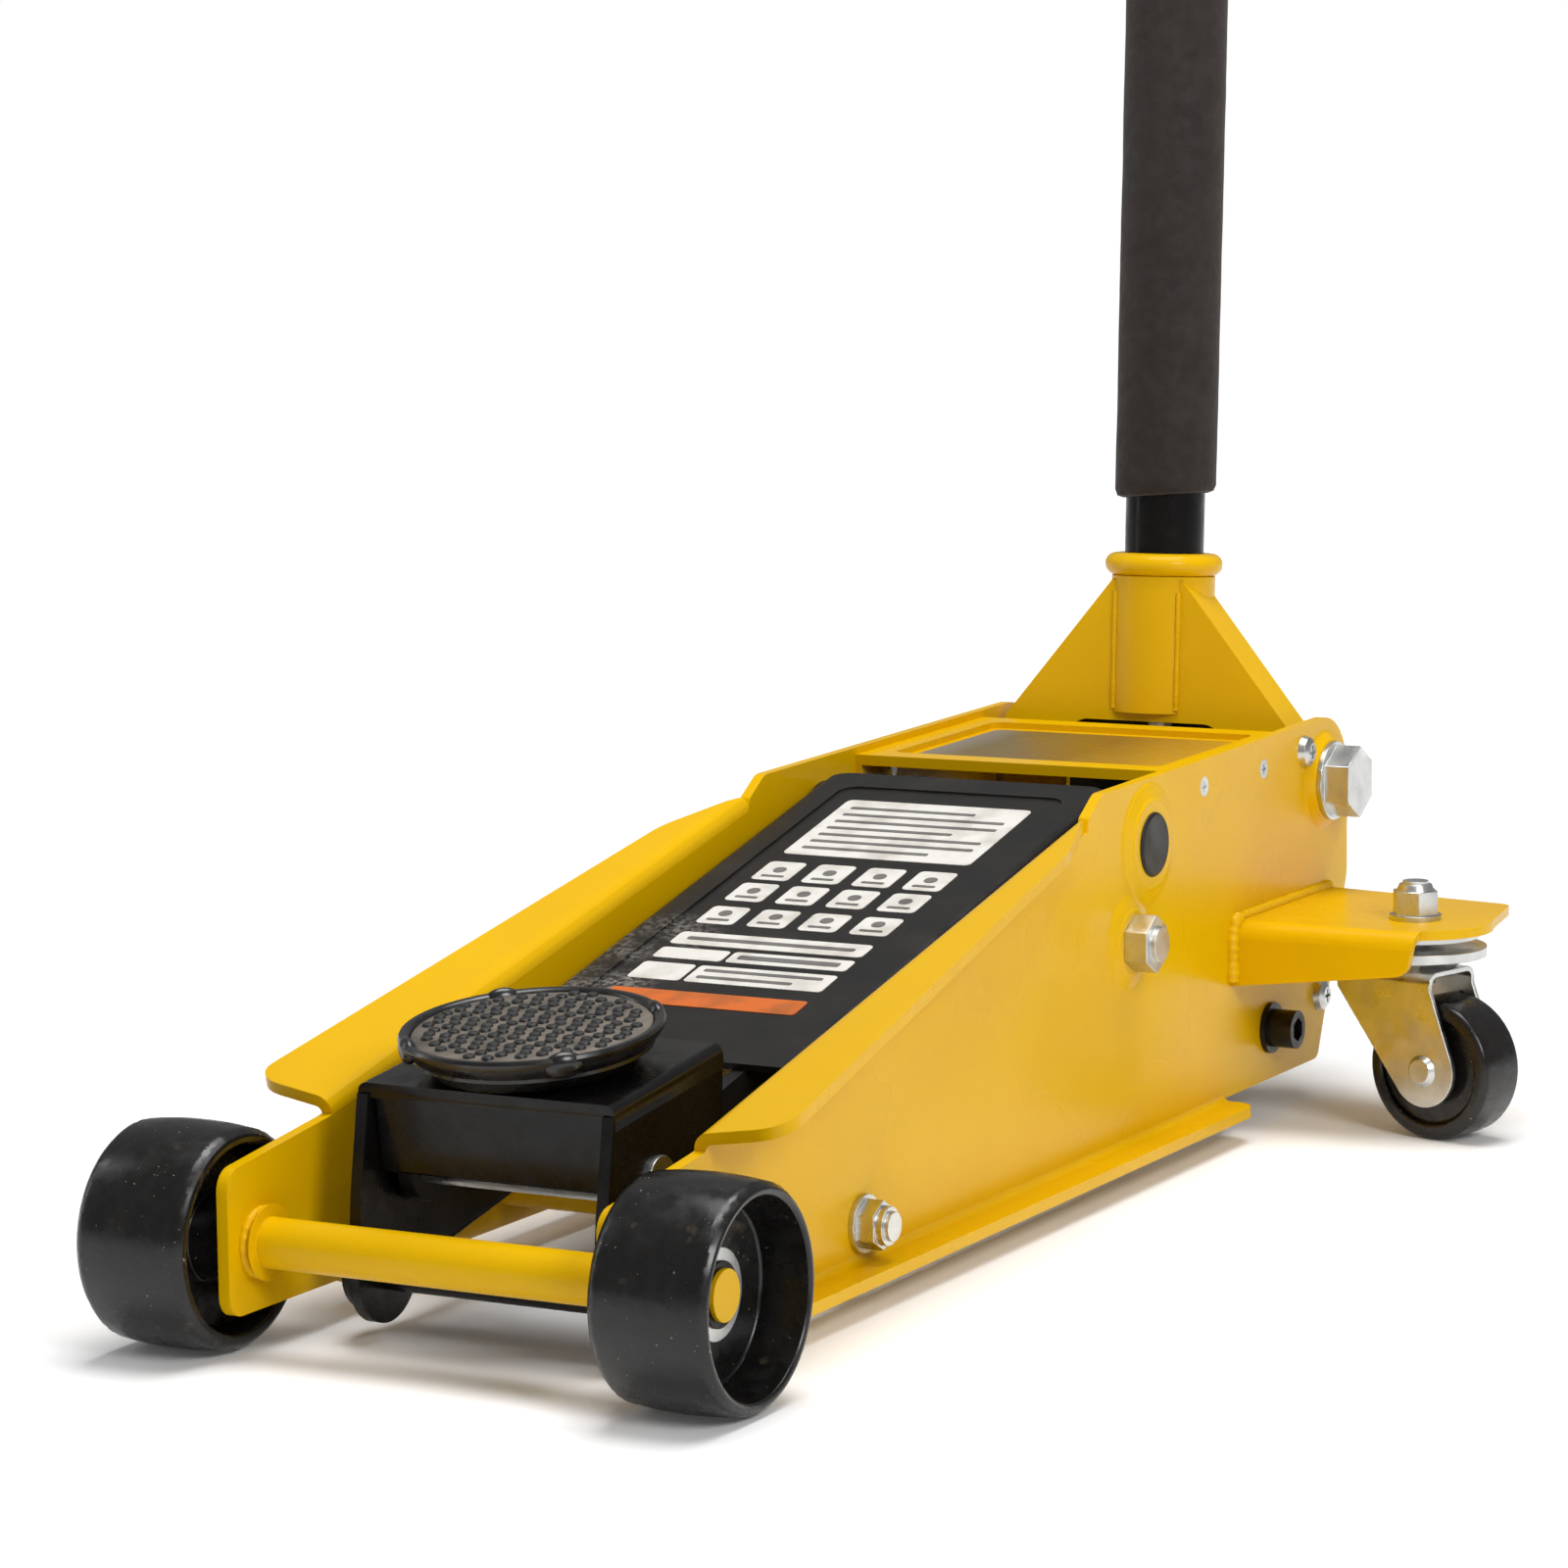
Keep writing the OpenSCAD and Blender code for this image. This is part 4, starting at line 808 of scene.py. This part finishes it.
marks += [(-7, 41, -212.5, -208.5, 1), (-15, 41, -227, -224.5, 1), (-15, 30, -234, -231.5, 1)]
label_piece("arm_label_white", white, -0.8, COVER, "lift_arm", WHITE_INK)
label_piece("arm_label_marks", marks, -0.58, COVER, "lift_arm", GREY_INK)
label_piece("arm_label_stripe", [(-EDGE, EDGE, -262, -248, 2)], -0.8, COVER, "lift_arm",
            ORANGE_INK)

# %% [markdown]
# The rating label lies in the recess of the top cover, 3 mm below its border. It is one blank card
# of metallised film.

# %% Label on the top cover
label_piece("rating_label", [(-64, 64, 16, 114, 4)], -3.0, LID, "chassis", FILM)
print("label cards:", len(white) + len(marks) + 2)

# %% [markdown]
# The room is a plain pale floor under a white surround. The floor glows by itself as painted light,
# faint beside the jack and growing away from it, so it meets the surround with no horizon line.

# %% Floor
def studio_floor():
    bm = bmesh.new()
    bmesh.ops.create_grid(bm, x_segments=1, y_segments=1, size=12.0)
    mesh = bpy.data.meshes.new("studio_floor")
    bm.to_mesh(mesh)
    bm.free()
    floor = bpy.data.objects.new("studio_floor", mesh)
    bpy.context.collection.objects.link(floor)
    surface = new_material("pale_studio_floor", Roughness=0.7, Emission_Color=WHITE)
    lay_finish(surface, (400, 3.0, (0.3, "F6F6F6"), (0.7, "F9F9F9")))
    material, tree, shader, coords = surface
    reach = add(tree, "ShaderNodeVectorMath", {"operation": "LENGTH"}, i0=coords).outputs["Value"]
    # Painted light: the floor's own glow grows from faint beside the jack to strong 2.6 m away.
    glow = add(tree, "ShaderNodeMapRange", {"interpolation_type": "SMOOTHSTEP"}, Value=reach,
               From_Min=0.5, From_Max=2.6, To_Min=0.04, To_Max=0.8)
    tree.links.new(glow.outputs[0], shader.inputs["Emission Strength"])
    mesh.materials.append(material)


studio_floor()
print("floor glows from 0.5 m to 2.6 m away")

# %% [markdown]
# The surround is pure white behind the jack, but as bright a light from every side would wash out
# the black parts. The world is therefore dimmer where it lights the jack than where it is seen.

# %% Surround
world = bpy.data.worlds.new("studio")
world.use_nodes = True
background = world.node_tree.nodes["Background"]
background.inputs["Color"].default_value = WHITE
seen = add(world.node_tree, "ShaderNodeLightPath").outputs["Is Camera Ray"]
strength = add(world.node_tree, "ShaderNodeMapRange", Value=seen, From_Min=0.0, From_Max=1.0,
               To_Min=0.26, To_Max=1.0)
world.node_tree.links.new(strength.outputs[0], background.inputs["Strength"])
bpy.context.scene.world = world
print("surround lights at 0.26 and is seen at 1.0")

# %% [markdown]
# Three soft lamps shape the parts: a large one overhead, a key at the front right, and a strip at
# the left for the black tube. A larger lamp gives a softer shadow.

# %% Lamps
def softbox(name, where, aim, size, watts):
    light = bpy.data.lights.new(name, "AREA")
    light.shape = "RECTANGLE"
    light.size, light.size_y = size
    light.energy = watts
    lamp = bpy.data.objects.new(name, light)
    bpy.context.collection.objects.link(lamp)
    lamp.location = where
    lamp.rotation_euler = (Vector(aim) - Vector(where)).to_track_quat("-Z", "Y").to_euler()
    print(name, watts, "W")


softbox("overhead_softbox", (0.2, 0.1, 2.6), (0, 0, 0), (1.6, 1.6), 66)
softbox("front_key", (2.0, -1.2, 1.5), (0, 0, 0.15), (0.9, 0.9), 30)
softbox("side_strip", (-1.8, -0.6, 1.0), (0, 0.3, 0.5), (0.3, 1.6), 5)

# %% [markdown]
# The camera stands at the front right, a little above the jack, and looks at a point between the
# arm and the handle. Its axes are built from its azimuth, its elevation and a slight roll.

# %% Camera
AZIMUTH, ELEVATION, ROLL = math.radians(28.65), math.radians(7.51), math.radians(-0.688)
TARGET = Vector((-13.8, axle.y + 300, 188.7)) * MM
DISTANCE = 2.1005
camera_data = bpy.data.cameras.new("camera")
camera_data.lens = 113.06
camera_data.sensor_width = 36
camera = bpy.data.objects.new("camera", camera_data)
bpy.context.collection.objects.link(camera)
back = Vector((math.sin(AZIMUTH) * math.cos(ELEVATION), -math.cos(AZIMUTH) * math.cos(ELEVATION),
               math.sin(ELEVATION)))
level = Vector((math.cos(AZIMUTH), math.sin(AZIMUTH), 0))
upright = back.cross(level)
right = level * math.cos(ROLL) + upright * math.sin(ROLL)
up = upright * math.cos(ROLL) - level * math.sin(ROLL)
camera.matrix_world = Matrix((right, up, back)).transposed().to_4x4()
camera.location = TARGET + back * DISTANCE
bpy.context.scene.camera = camera
bpy.context.scene.view_settings.view_transform = "Standard"
print("camera at", tuple(round(v, 3) for v in camera.location))
